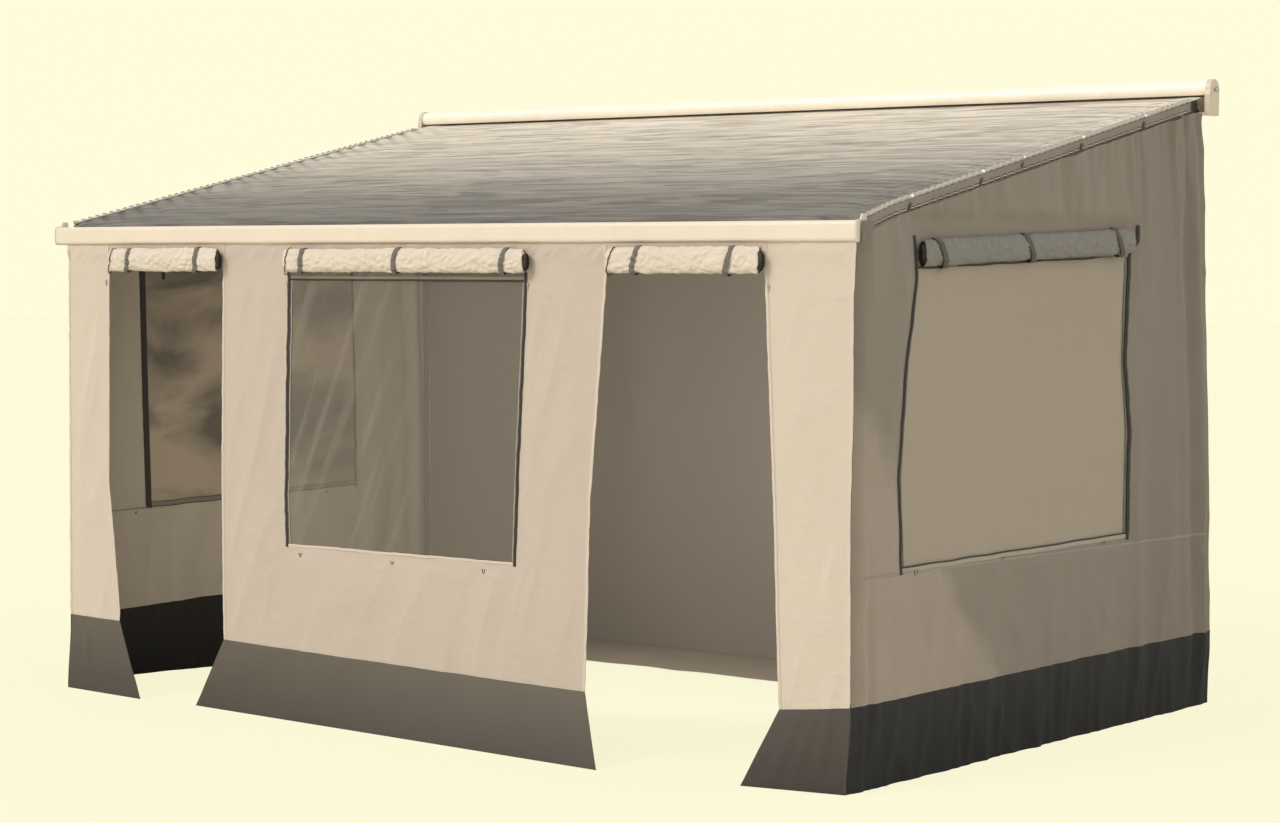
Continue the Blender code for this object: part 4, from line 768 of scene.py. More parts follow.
def turned(name, centre, outward, profile, finish, slot, steps=20, body="frame"):
    """A small turned piece, such as a rivet's head: profile is (radius, height) from its rim to its middle."""
    outward = Vector(outward).normalized()
    side_on = outward.orthogonal().normalized()
    front_on = outward.cross(side_on)
    angles = [2 * math.pi * k / steps for k in range(steps)]
    points = [
        Vector(centre) + outward * h + (side_on * math.cos(a) + front_on * math.sin(a)) * r
        for r, h in profile for a in angles
    ]
    faces = [tuple(range(steps))[::-1], tuple(range((len(profile) - 1) * steps, len(profile) * steps))]
    for ring in range(len(profile) - 1):
        for k in range(steps):
            after = (k + 1) % steps
            low, high = ring * steps, (ring + 1) * steps
            faces.append((low + k, low + after, high + after, high + k))
    mesh = bpy.data.meshes.new(name)
    mesh.from_pydata([tuple(point) for point in points], [], faces)
    mesh.shade_smooth()
    mesh.set_sharp_from_angle(angle=math.radians(50))
    mesh.materials.append(finish)
    made = bpy.data.objects.new(name, mesh)
    scene.collection.objects.link(made)
    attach(made, body)
    return made


for side, sign in (("left", -1), ("right", 1)):
    strip_depth, strip_drop = np.meshgrid(np.linspace(strip_start, strip_end, 190), np.linspace(strip_height, 0, 9))
    strip_share = strip_drop / strip_height
    strip_wave = 0.0011 * drift(strip_depth * 11, strip_drop * 20, 21) * strip_share
    strip_points = np.stack(
        [
            sign * (wall_reach(strip_depth) + edge_flare(sign, strip_depth) + 0.0020 + 0.0006 * strip_share + strip_wave),
            front_face + strip_depth,
            roof_height(strip_depth) - 0.0034 - strip_drop,
        ],
        axis=-1,
    )
    strip_flat = np.stack([strip_depth * math.hypot(1, slope), strip_height - strip_drop], axis=-1)
    sew_cloth(
        "edge_strip_" + side, strip_points, strip_flat, strip_cloth, ["roof_strip_" + side],
        {"seam": strip_flat[..., ::-1]}, flip=sign < 0,
    )
    piping_depth = np.linspace(strip_start, strip_end, 420)
    piping_path = np.stack(
        [
            sign * (wall_reach(piping_depth) + edge_flare(sign, piping_depth) + 0.0016),
            front_face + piping_depth,
            roof_height(piping_depth) + 0.0034 + 0.0034 * np.abs(np.sin(np.pi * piping_depth / 0.042)),
        ],
        axis=-1,
    )
    piping_radius = 0.0064 if side == "right" else 0.0082
    piping_turn = np.linspace(0, 2 * np.pi, 13)[:-1]
    piping_round = [(piping_radius * math.cos(a), piping_radius * math.sin(a)) for a in piping_turn]
    across = np.tile((1.0, 0.0, 0.0), (420, 1))
    ribbon(
        "edge_piping_" + side, piping_path, across, unit(np.cross(tangents(piping_path), across)), piping_round,
        piping_finish if side == "right" else far_piping_painted_lit,
    )
    thread_path = piping_path - np.array((sign * 0.0135, 0, 0))
    thread_path[:, 2] = roof_height(piping_depth) + (0.0048 if side == "right" else 0.0016)
    ribbon(
        "edge_stitches_" + side, thread_path, across, unit(np.cross(tangents(thread_path), across)),
        [(-0.0055, -0.0060), (-0.0040, 0.0), (0.0040, 0.0), (0.0055, -0.0060)], edge_thread,
    )
    for number, depth in enumerate(clip_depths):
        small = 0.62 if number == 2 else 1.0
        reach = float(wall_reach(depth) + edge_flare(sign, np.array(depth)))
        top = np.array((sign * (reach + 0.0070), front_face + depth, roof_height(depth) + 0.0075))
        turned(
            f"edge_rivet_{side}_{number + 1}", top, (sign * 0.75, -0.25, 0.6),
            [(0.0072 * small, -0.003), (0.0072 * small, 0.001), (0.0055 * small, 0.0032), (0.0026 * small, 0.0044)],
            clip_metal, "steel",
        )
        hang = np.linspace(0, 1, 6)
        tab_depth = depth - 0.004 - 0.012 * hang
        tab_path = np.stack(
            [
                sign * (reach + 0.0044 + 0.0010 * np.sin(np.pi * hang)),
                front_face + tab_depth,
                roof_height(tab_depth) - 0.016 * small - (0.006 + 0.020 * small) * hang,
            ],
            axis=-1,
        )
        tab_half = 0.0075 * small
        ribbon(
            f"edge_tab_{side}_{number + 1}", tab_path, np.tile((0.0, 1.0, 0.0), (6, 1)),
            np.tile((sign * 1.0, 0, 0), (6, 1)),
            [(-tab_half, 0.0), (-tab_half, 0.0016), (tab_half, 0.0016), (tab_half, 0.0)], tab_web,
        )

# A welded seam crosses the canopy in a long slack line, from the left towards the case at the right.
seam_cloth = woven("seam_cloth", (0.52, 0.465, 0.38), 0.10, 0.3, 0.002)
seam_x = np.linspace(-1.93, 1.93, 120)
seam_depth_at = np.interp(
    seam_x, (-1.93, -0.75, 0.06, 0.88, 1.23, 1.63, 1.93), (1.50, 1.434, 1.389, 1.42, 1.62, 1.86, 1.99)
)
seam_depth_at = np.convolve(np.pad(seam_depth_at, 8, "edge"), np.ones(17) / 17, "valid")
seam_rise = 0.0042 + 0.0008 * drift(seam_x * 6, seam_x * 0, 23)
seam_run = np.stack([seam_x, front_face + seam_depth_at, roof_height(seam_depth_at) + seam_rise], axis=-1)
ribbon(
    "canopy_seam", seam_run, np.tile((0.0, 0.978, 0.207), (120, 1)), np.tile((0.0, -0.207, 0.978), (120, 1)),
    [(-0.011, -0.009), (-0.007, 0.0), (0.0, 0.0011), (0.005, 0.0), (0.009, -0.009)], seam_cloth,
)

# The front wall: three hung panels of cream cloth, with bound edges along the doors and the window, and a
# taped seam on top of the skirts. The cloth hangs from the rail in soft upright folds.
left_door_left = ((1.800, -1.715), (0.900, -1.723), (0.770, -1.706), (0.380, -1.660))
left_door_right = ((1.790, -1.031), (0.940, -1.043), (0.285, -1.035))
right_door_left = ((1.790, 0.950), (0.965, 0.874), (0.254, 0.848))
right_door_right = ((1.795, 1.652), (1.008, 1.687), (0.273, 1.711))
front_window_left = ((1.780, -0.652), (0.890, -0.675), (0.706, -0.668))
front_window_right = ((1.780, 0.567), (0.954, 0.520), (0.705, 0.509))
front_window_foot, front_window_head = 0.705, 1.812
front_corner = 1.9875
rail_foot = 1.912
cad_cloth = 0.003


def edge(points):
    """The place of a cloth edge at a height, from its (height, place) points."""
    rising = sorted(points)
    heights, places = [point[0] for point in rising], [point[1] for point in rising]
    return lambda height: np.interp(height, heights, places)


def steady(value):
    return lambda at: value + 0 * np.asarray(at, float)


def grading(start, end, first, last):
    return lambda place: first + (last - first) * (place - start) / (end - start)


def cloth_net(uprights, upright_steps, levels, level_steps):
    """Place and height at each crossing of a net whose lines run evenly between the given edges."""

    def lines(steps):
        found = [stop + share / count for stop, count in enumerate(steps) for share in range(count)]
        return np.array(found + [len(steps)])

    def between(stops, places, at):
        values = np.stack([stop(at) for stop in stops])
        low = np.minimum(places.astype(int), len(stops) - 2)
        share = places - low
        first = np.take_along_axis(values, low[None], 0)[0]
        after = np.take_along_axis(values, low[None] + 1, 0)[0]
        return first * (1 - share) + after * share

    across, up = np.meshgrid(lines(upright_steps), lines(level_steps))
    height = 1.0 + 0 * up
    for _ in range(4):
        place = between(uprights, across, height)
        height = between(levels, up, place)
    return place, height


def creases(u, v, seed, sharp=3.0):
    """Narrow ridges from 0 to 1 that wander between smooth hollows, as in crumpled cloth."""
    return (1 - np.abs(drift(u, v, seed))) ** sharp


# The left door's zip slider runs down this line, and the cloth lies flatter there.
left_slider_x = -1.737


def front_relief(x, z):
    """How far the front cloth stands out of its plane: folds, slanted creases, and puckers under the rail."""
    edges = [edge(points)(z) for points in (left_door_left, left_door_right, right_door_left, right_door_right)]
    nearest = np.min(np.stack([np.abs(x - place) for place in edges] + [front_corner - np.abs(x)]), axis=0)
    beside = np.max(
        np.stack([edge(front_window_left)(z) - x, x - edge(front_window_right)(z), front_window_foot - z]), axis=0
    )
    under = np.clip(rail_foot - z, 0, 2)
    hung = ramp(0.2, 0.7, under)
    loose = ramp(0.05, 0.18, nearest) * ramp(0.04, 0.16, beside)
    wave = np.sin(2 * np.pi * x / 0.42 + 1.6 * np.sin(1.9 * z)) * 0.5 + 0.5
    slant = creases(7.0 * (x - 0.34 * z) + 4, 1.3 * (z + 0.3 * x), 31, 2.5)
    slant = slant * 0.75 + 0.35 * creases(15 * (x - 0.28 * z), 2.1 * z, 32, 2.0)
    pucker = drift(x * 30, z * 3, 33) * np.exp(-under / 0.05)
    pinched = creases(26 * (x + 0.9 * under), 7 * (under - 0.5 * x), 38, 2.2) * np.exp(-(((under - 0.035) / 0.035) ** 2))
    small = drift(x * 13, z * 7, 34) * 0.5 + drift(x * 5, z * 19, 35) * 0.3
    by_window = np.exp(-np.clip(np.abs(beside), 0, 1) / 0.045)
    near_window = by_window * (creases(z * 21, x * 12, 36, 2.2) + 0.5 * drift(z * 44, x * 30, 39))
    by_slider = 1 - 0.85 * np.exp(-(((x - left_slider_x) / 0.03) ** 2))
    near_edge = by_slider * np.exp(-nearest / 0.028) * (creases(z * 18, x * 7, 37, 2.2) + 0.4 * drift(z * 40, x * 30, 40))
    soft = ramp(0.01, 0.10, nearest)
    return (
        0.006 * loose * hung * wave
        + 0.0080 * soft * ramp(0.01, 0.07, beside) * slant * ramp(0.02, 0.25, under)
        + 0.0016 * pucker
        + 0.0054 * pinched
        + 0.0013 * soft * small
        + 0.0026 * near_window
        + 0.0020 * near_edge
    )


def lean(sign, depth, z):
    """How far a hung wall stands to the right of its own line. The rail's end holds it out under the strip."""
    low = ramp(0.0, 0.28, z)
    at_front = 0.020 * low + (0.011 * ramp(0.9, 1.4, z) if sign > 0 else 0.0)
    at_rear = 0.012 * low * (1 - ramp(1.2, 1.9, z))
    hung = at_front + (at_rear - at_front) * np.clip(depth / 2.4, 0, 1)
    free = ramp(0.0, 0.30 if sign > 0 else 0.05, roof_height(depth) - 0.0457 - z)
    return hung * free + sign * edge_flare(sign, depth) * (1 - free) * (sign > 0)


def corner_lean(x, z, reach):
    """The same along the front wall, where only its corners move."""
    return np.where(x > 0, lean(1, 0.0, z), lean(-1, 0.0, z)) * ramp(1.66, 1.95, reach)


def on_front(x, z, back=0.0):
    """The front cloth's outer face, or a layer this far behind it."""
    return np.stack([x + corner_lean(x, z, np.abs(x)), front_face - front_relief(x, z) + back, z], axis=-1)


cream = (0.610, 0.512, 0.422)
cream_cloth = woven("cream_cloth", cream, 0.05, 0.5, 0.006, fineness=1.3)
corner_cloth = woven("corner_cloth", (0.685, 0.592, 0.478), 0.05, 0.5, 0.006, fineness=1.3)
binding_cloth = woven(
    "binding_cloth", (0.66, 0.56, 0.46), 0.06, 0.6, 0.002,
    colour_from=stitched((0.66, 0.56, 0.46), [(0.0105, (0.42, 0.35, 0.27), 0.0007, 0.006)]),
)


def bind_edge(name, path, inner, outward, finish, width=0.013, lift=0.0011, under=cloth_thickness, seed=41):
    """A folded tape sewn round a cloth edge. inner is the way into the cloth."""
    length = np.concatenate([[0], np.cumsum(np.linalg.norm(np.diff(path, axis=0), axis=1))])
    wander = 0.0012 * drift(length * 26, length * 0 + 1, seed)
    moved = path + inner * wander[:, None]
    profile = [
        (width, 0.0002), (width - 0.001, lift), (0.002, lift * 1.15), (-0.0012, lift * 0.4),
        (-0.0012, -under * 0.8), (0.002, -under - lift), (width - 0.001, -under - lift * 0.9), (width, -under),
    ]
    return ribbon(name, moved, inner, outward, profile, finish, lengthwise=length)


def front_panel(name, left, right, seam, columns, rows, finish, window=False):
    """One hung panel from its seam to the rail; the bindings on its free upright edges come from upright_binding."""
    start, end = float(left(seam[0])), float(right(seam[1]))
    foot, head = grading(start, end, *seam), steady(rail_foot - 0.0004)
    open_cells = None
    if window:
        uprights = [left, edge(front_window_left), edge(front_window_right), right]
        levels = [foot, steady(front_window_foot), steady(front_window_head), head]
        x, z = cloth_net(uprights, columns, levels, rows)
        open_cells = np.zeros((x.shape[0] - 1, x.shape[1] - 1), bool)
        open_cells[rows[0] : rows[0] + rows[1], columns[0] : columns[0] + columns[1]] = True
    else:
        x, z = cloth_net([left, right], columns, [foot, head], rows)
    sheet = sew_cloth(
        name + "_cloth", on_front(x, z), np.stack([x, z], axis=-1), finish, [name],
        open_cells=open_cells,
    )
    return sheet, x, z


def upright_binding(name, line, foot, head, way, finish=binding_cloth, width=0.013):
    """Binding on an upright edge of the front wall. way is 1 where the cloth lies to the right of the edge."""
    height = np.linspace(foot, head, 150)
    path = on_front(line(height), height)
    inner = on_front(line(height) + 0.02 * way, height) - path
    inner = unit(inner)
    outward = unit(np.cross(inner, tangents(path))) * way
    outward = outward * np.sign(-outward[:, 1:2])
    return bind_edge(name, path, inner, outward, finish, width)


corner_left, corner_right = steady(-front_corner), steady(front_corner)
door_1_left, door_1_right = edge(left_door_left), edge(left_door_right)
door_2_left, door_2_right = edge(right_door_left), edge(right_door_right)
left_seam, middle_seam, right_seam = (0.320, 0.314), (0.287, 0.252), (0.272, 0.305)
front_panel("front_panel_left", corner_left, door_1_left, left_seam, [30], [130], corner_cloth)
front_panel(
    "front_panel_centre", door_1_right, door_2_left, middle_seam, [34, 90, 32], [36, 80, 12], cream_cloth,
    True,
)
front_panel("front_panel_right", door_2_right, corner_right, right_seam, [30], [130], corner_cloth)
upright_binding("door_1_binding_left", door_1_left, 0.316, 1.905, -1)
upright_binding("door_1_binding_right", door_1_right, 0.290, 1.905, 1)
upright_binding("door_2_binding_left", door_2_left, 0.255, 1.905, -1)
upright_binding("door_2_binding_right", door_2_right, 0.275, 1.905, 1)
upright_binding("corner_binding_left", steady(-front_corner + 0.001), 0.322, 1.908, 1, width=0.010)
upright_binding("corner_binding_right", steady(front_corner - 0.001), 0.306, 1.908, -1, width=0.010)

# The skirts: dark grey coated cloth sewn under the panels. Their hems stand on the ground and swing out at
# the doors, with small wrinkles under the seam.
hem_left_end, hem_middle_start = (-1.500, 0.034), (-1.194, 0.008)
hem_middle_end, hem_right_start = (1.012, 0.146), (1.598, 0.074)


def skirt_shades(top, low):
    """A grey that is lighter under the seam than at the hem."""

    def build(tree):
        layer = lay(tree, "ShaderNodeUVMap", uv_map="seam")
        apart = lay(tree, "ShaderNodeSeparateXYZ")
        fade = lay(tree, "ShaderNodeMix", {"A": (*top, 1), "B": (*low, 1)}, data_type="RGBA")
        wire(tree, (layer, "UV", apart, "Vector"), (apart, "X", fade, "Factor"))
        return fade, "Result"

    return build


def front_skirt(name, left, right, seam, hem_start, hem_end, columns, finish, seed):
    start, end = float(left(seam[0])), float(right(seam[1]))
    seam_at = grading(start, end, *seam)
    across, down = np.meshgrid(np.linspace(0, 1, columns + 1), np.linspace(1, 0, 29))
    top_x = start + (end - start) * across
    hem_x = hem_start[0] + (hem_end[0] - hem_start[0]) * across
    out = hem_start[1] + (hem_end[1] - hem_start[1]) * across
    top_z = seam_at(top_x) - 0.0006
    x = top_x + (hem_x - top_x) * down
    fold = front_relief(top_x, top_z)
    middle = across * (1 - across) * 4
    wave = 0.0021 * np.sin(9 * across * np.pi) * np.sin(np.pi * down) * middle
    wrinkle = 0.0030 * drift(x * 24 + 3 * down, down * 2.2, seed) * np.exp(-down / 0.16) * ramp(0, 0.05, down)
    crumple = 0.0018 * drift(x * 7, down * 3.5, seed + 1) * ramp(0, 0.2, down) * ramp(0, 0.1, 1 - down)
    by_corner = ramp(0.0, 0.03, front_corner - np.abs(x))
    y = front_face - fold * (1 - down) - out * down - (wave + wrinkle + crumple) * by_corner
    shift = corner_lean(top_x, top_z * (1 - down), np.abs(top_x))
    points = np.stack([x + shift, y, top_z * (1 - down)], axis=-1)
    flat = np.stack([x, top_z * (1 - down)], axis=-1)
    seam_layer = np.stack([down, x], axis=-1)
    return sew_cloth(
        name + "_cloth", points, flat, finish, [name],
        {"seam": seam_layer}, thick=0.0016,
    )


front_skirt_cloth = woven(
    "front_skirt_cloth", (0.15, 0.13, 0.10), 0.10, 0.5, 0.003, 0.55,
    skirt_shades((0.122, 0.103, 0.077), (0.067, 0.057, 0.043)),
)
corner_skirt_cloth = woven(
    "corner_skirt_cloth", (0.10, 0.09, 0.07), 0.10, 0.5, 0.003, 0.55,
    skirt_shades((0.074, 0.063, 0.050), (0.046, 0.038, 0.030)),
)
front_skirt("front_skirt_left", corner_left, door_1_left, left_seam, (-front_corner, 0), hem_left_end, 40,
            front_skirt_cloth, 51)
front_skirt("front_skirt_centre", door_1_right, door_2_left, middle_seam, hem_middle_start, hem_middle_end, 180,
            front_skirt_cloth, 53)
front_skirt("front_skirt_right", door_2_right, corner_right, right_seam, hem_right_start, (front_corner, 0), 40,
            corner_skirt_cloth, 55)

for side, sign in (("left", -1), ("right", 1)):
    corner_z = np.linspace(0.006, 0.318, 40)
    corner_path = np.stack([
        sign * (front_corner - 0.0035) + lean(sign, 0.0, corner_z), front_face + 0.0030 + 0 * corner_z, corner_z,
    ], axis=-1)
    ribbon(
        "skirt_corner_" + side, corner_path, np.tile((1.0, 0, 0), (40, 1)), np.tile((0.0, -1, 0), (40, 1)),
        [(0.0046 * math.cos(a), 0.0046 * math.sin(a)) for a in np.linspace(0, 2 * np.pi, 13)[:-1]],
        corner_skirt_cloth,
    )

# The front window: clear film sewn behind the opening, with a zip down each side and a pale frame along its
# head. The film has gone slightly smoky, and a few long diagonal gleams are painted on it as reflections.
zip_tape = woven("zip_tape", (0.045, 0.038, 0.032), 0.1, 0.3, 0.001)
zip_profile = [
    (-0.0075, 0.0002), (-0.0075, 0.0012), (-0.0030, 0.0014), (-0.0022, 0.0030), (0.0022, 0.0030),
    (0.0030, 0.0014), (0.0075, 0.0012), (0.0075, 0.0002),
]


def zip_finish():
    """Dark tape with the coil's teeth as fine ribs along its middle, each with a painted highlight."""
    made, tree, shader = new_finish("zip_coil", (0.040, 0.034, 0.028), 0.5)
    layer = lay(tree, "ShaderNodeUVMap", uv_map="seam")
    apart = lay(tree, "ShaderNodeSeparateXYZ")
    pitch = lay(tree, "ShaderNodeMath", {1: 2 * math.pi / 0.0032}, operation="MULTIPLY")
    teeth = lay(tree, "ShaderNodeMath", operation="SINE")
    off = lay(tree, "ShaderNodeMath", operation="ABSOLUTE")
    middle = lay(tree, "ShaderNodeMath", {1: 0.0026}, operation="LESS_THAN")
    ribs = lay(tree, "ShaderNodeMath", operation="MULTIPLY")
    tone = lay(tree, "ShaderNodeMix", {"A": (0.040, 0.034, 0.028, 1), "B": (0.11, 0.095, 0.08, 1)}, data_type="RGBA")
    # Painted highlight on one half of each tooth.
    teeth_painted_highlight = lay(tree, "ShaderNodeMath", {1: 0.5}, operation="MULTIPLY")
    wire(
        tree,
        (layer, "UV", apart, "Vector"),
        (apart, "Y", pitch, 0),
        (pitch, "Value", teeth, 0),
        (apart, "X", off, 0),
        (off, "Value", middle, 0),
        (teeth, "Value", ribs, 0),
        (middle, "Value", ribs, 1),
        (ribs, "Value", teeth_painted_highlight, 0),
        (teeth_painted_highlight, "Value", tone, "Factor"),
        (tone, "Result", shader, "Base Color"),
    )
    raise_grain(tree, ribs, "Value", shader, 0.0006)
    return made


zip_coil = zip_finish()


def zip_run(name, path, across, outward, scale=1.0, seed=61):
    length = np.concatenate([[0], np.cumsum(np.linalg.norm(np.diff(path, axis=0), axis=1))])
    moved = path + across * (0.0022 * drift(length * 17, length * 0, seed))[:, None] * scale
    moved = moved + outward * (0.0008 + 0.0008 * drift(length * 21, length * 0, seed + 1))[:, None]
    profile = [(a * scale, o * scale) for a, o in zip_profile]
    return ribbon(name, moved, across, outward, profile, zip_coil, lengthwise=length)


def smoky_film(name, colour, clear, gleam, haze, painted_sky_reflection=None):
    """Film as a thin tinted layer. clear is its alpha, gleam the alpha of its diagonal gleams, which are painted
    reflections. Cloud tones, when given, are painted over its colour as a reflection of the sky.
    """
    made, tree, shader = new_finish(name, colour, 0.12)
    shader.inputs["IOR"].default_value = 1.45
    place = lay(tree, "ShaderNodeUVMap", uv_map="cloth")
    turned = lay(tree, "ShaderNodeMapping", {"Rotation": (0, 0, math.radians(-22)), "Scale": (0.062, 1.3, 1)},
                 vector_type="TEXTURE")
    streaks = lay(tree, "ShaderNodeTexNoise", {"Scale": 1.0, "Detail": 2, "Roughness": 0.4})
    # Painted reflections: diagonal gleams that raise the film's alpha, kept to its left part.
    painted_gleam_mask = lay(tree, "ShaderNodeMapRange", {"From Min": 0.52, "From Max": 0.70})
    apart = lay(tree, "ShaderNodeSeparateXYZ")
    at_left = lay(tree, "ShaderNodeMapRange", {"From Min": -0.22, "From Max": 0.12, "To Min": 1.0, "To Max": 0.0},
                  interpolation_type="SMOOTHSTEP")
    kept = lay(tree, "ShaderNodeMath", operation="MULTIPLY")
    painted_gleam_alpha = lay(tree, "ShaderNodeMapRange", {"To Min": clear, "To Max": gleam})
    wavy = lay(tree, "ShaderNodeTexNoise", {"Scale": 5.0, "Detail": 2, "Distortion": 0.5})
    wire(
        tree,
        (place, "UV", turned, "Vector"),
        (turned, "Vector", streaks, "Vector"),
        (streaks, "Fac", painted_gleam_mask, "Value"),
        (place, "UV", apart, "Vector"),
        (apart, "X", at_left, "Value"),
        (painted_gleam_mask, "Result", kept, 0),
        (at_left, "Result", kept, 1),
        (kept, "Value", painted_gleam_alpha, "Value"),
        (painted_gleam_alpha, "Result", shader, "Alpha"),
        (place, "UV", wavy, "Vector"),
    )
    # Painted reflection: cloud tones of the sky laid over the film's colour.
    if painted_sky_reflection:
        stretched = lay(tree, "ShaderNodeMapping", {"Scale": (0.85, 1.9, 1), "Location": (0.35, 0.1, 0)})
        reflected_clouds = lay(tree, "ShaderNodeTexNoise", {"Scale": 1.7, "Detail": 4, "Roughness": 0.5, "Distortion": 0.5})
        tone = lay(tree, "ShaderNodeValToRGB")
        for element, (at, shade) in zip(tone.color_ramp.elements, painted_sky_reflection, strict=True):
            element.position = at
            element.color = (*shade, 1)
        wire(
            tree, (place, "UV", stretched, "Vector"), (stretched, "Vector", reflected_clouds, "Vector"),
            (reflected_clouds, "Fac", tone, "Fac"), (tone, "Color", shader, "Base Color"),
        )
    raise_grain(tree, wavy, "Fac", shader, haze * 0.4)
    return made


pane_lap = 0.016
film_thick = 0.0008
window_film = smoky_film("window_film", (0.30, 0.265, 0.215), 0.20, 0.42, 0.0005)
pane_x, pane_z = cloth_net(
    [lambda z: edge(front_window_left)(z) - pane_lap, lambda z: edge(front_window_right)(z) + pane_lap],
    [60],
    [steady(front_window_foot - pane_lap), steady(front_window_head + pane_lap)],
    [50],
)
pane_sag = 0.0015 * drift(pane_x * 3, pane_z * 3, 62)
pane_points = on_front(pane_x, pane_z, cad_cloth + 0.0004)
pane_points[..., 1] += np.abs(pane_sag)
sew_cloth(
    "front_window_film", pane_points, np.stack([pane_x, pane_z], axis=-1), window_film,
    ["front_window_pane"], thick=film_thick,
)
for side, line, way in (("left", front_window_left, -1), ("right", front_window_right, 1)):
    height = np.linspace(front_window_foot - 0.012, front_window_head - 0.010, 120)
    path = on_front(edge(line)(height) + way * 0.004, height)
    zip_run("front_window_zip_" + side, path, np.tile((1.0, 0, 0), (120, 1)), np.tile((0.0, -1, 0), (120, 1)), 0.95)
sill_x = np.linspace(-0.668, 0.509, 120)
sill_path = on_front(sill_x, front_window_foot + 0.0024 * drift(sill_x * 5, sill_x * 0, 63))
bind_edge(
    "front_window_sill", sill_path, np.tile((0.0, 0, -1), (120, 1)), np.tile((0.0, -1, 0), (120, 1)), binding_cloth,
    0.011, seed=64,
)

# A pale tape and a dark cord run along the window's head, below the rolled blind. Small toggles hang under the
# sill, to tie the blind down when it is closed.
film_border = woven("film_border", (0.34, 0.30, 0.24), 0.05, 0.2, 0.001)
tape_section = [(-0.5, 0.0), (-0.5, 0.0007), (0.5, 0.0007), (0.5, 0.0)]


def flat_tape(name, path, across, outward, width, finish, body="frame"):
    return ribbon(name, path, across, outward, [(a * width, o) for a, o in tape_section], finish, body)


head_x = np.linspace(-0.650, 0.563, 80)
for label, height, width, finish in (
    ("pale", 1.7785, 0.011, film_border), ("dark", 1.7685, 0.008, zip_tape),
):
    waver = 0.0008 * drift(head_x * 9, head_x * 0, 65 if label == "pale" else 66)
    head_path = on_front(head_x, height + waver, 0.0026)
    flat_tape(
        f"front_window_head_{label}", head_path, np.tile((0.0, 0, 1), (80, 1)), np.tile((0.0, -1, 0), (80, 1)),
        width, finish,
    )
for side, line, way in (("left", front_window_left, 1), ("right", front_window_right, -1)):
    height = np.linspace(front_window_foot + 0.002, 1.765, 90)
    path = on_front(edge(line)(height) + way * 0.0085, height, 0.0024)
    flat_tape(
        "front_window_border_" + side, path, np.tile((1.0, 0, 0), (90, 1)), np.tile((0.0, -1, 0), (90, 1)), 0.007,
        film_border,
    )


def toggle(name, centre, across, outward, size=1.0):
    """A small moulded hook on a stitched loop."""
    up = np.array((0.0, 0.0, 1.0))
    legs = [(-0.0065, 0.0), (-0.0045, -0.010), (0.0, -0.017), (0.0045, -0.010), (0.0065, 0.0)]
    path = np.array([centre + (across * a + up * h) * size for a, h in legs])
    sideways = unit(np.cross(tangents(path), np.tile(outward, (5, 1))))
    profile = [(-0.0016, 0.0), (-0.0016, 0.0024), (0.0016, 0.0024), (0.0016, 0.0)]
    return ribbon(name, path, sideways, np.tile(outward, (5, 1)), profile, gear_plastic)


for number, x in enumerate((-0.598, -0.104, 0.361)):
    centre = on_front(np.array(x), np.array(0.672))
    toggle(f"front_toggle_{number + 1}", centre, np.array((1.0, 0, 0)), np.array((0.0, -1, 0)))

# The rolled-up doors and the front window's blind: wrinkled cream cloth in about eight turns, with the black
# zip tape showing at one end. Grey-brown webbing straps hold each roll up against its header.
roll_cream = woven("roll_cream", (0.84, 0.735, 0.60), 0.07, 1.0, 0.010, fineness=2.0)
strap_web = woven(
    "strap_web", (0.150, 0.130, 0.108), 0.12, 0.3, 0.001,
    colour_from=stitched((0.150, 0.130, 0.108), [
        (-0.0085, (0.26, 0.23, 0.19), 0.0006, 0.005), (0.0085, (0.26, 0.23, 0.19), 0.0006, 0.005),
    ]),
)
strap_profile = [
    (-0.0108, 0.0), (-0.0108, 0.0012), (-0.0098, 0.0016), (0.0098, 0.0016), (0.0108, 0.0012), (0.0108, 0.0),
]


roll_flatness = 0.40


def roll_crinkle(angle, along, strap_places, seed, strength=1.0):
    """How far a roll's surface stands out of its oval, in metres."""
    around, side_on = np.cos(angle), np.sin(angle)
    ridges = creases(along * 24 + 1.2 * around + 1.5 * side_on, 1.3 * side_on + along * 5, seed, 2.2)
    small = creases(along * 46 - 2.0 * side_on + around, 3.2 * side_on - along * 12, seed + 1, 2.0)
    broad = drift(along * 5 + 0.8 * around, 1.6 * side_on, seed + 2)
    pinch = sum(np.exp(-(((along - place) / 0.026) ** 2)) for place in strap_places)
    gather = sum(
        np.exp(-(((along - place) / 0.075) ** 2)) * creases(side_on * 5 + around, along * 9, seed + 5, 2.0)
        for place in strap_places
    )
    facets = np.abs(drift(along * 31 - 1.3 * side_on, 1.7 * side_on + 0.6 * around + along * 8, seed + 7))
    tiny = np.abs(drift(along * 70 + 2 * side_on, 3.8 * side_on - along * 26, seed + 8))
    folds = 0.0040 * ridges + 0.0022 * small + 0.0026 * broad + 0.0036 * gather + 0.0058 * facets + 0.0020 * tiny
    return strength * (folds - 0.0060) - 0.0042 * pinch


def roll_place(axis_point, run, up, out, angle, along, spread, relief, seed):
    """A point on a flattened roll, with its creases and its slight sag between the straps."""
    sway = 0.0022 * drift(along * 3.1, along * 0, seed + 3)
    forward, upward = np.cos(angle), np.sin(angle)
    deep = roll_flatness * forward * spread + forward * relief
    tall = upward * spread + 0.6 * upward * relief - np.abs(sway)
    return axis_point + run * along[..., None] + out * deep[..., None] + up * tall[..., None]


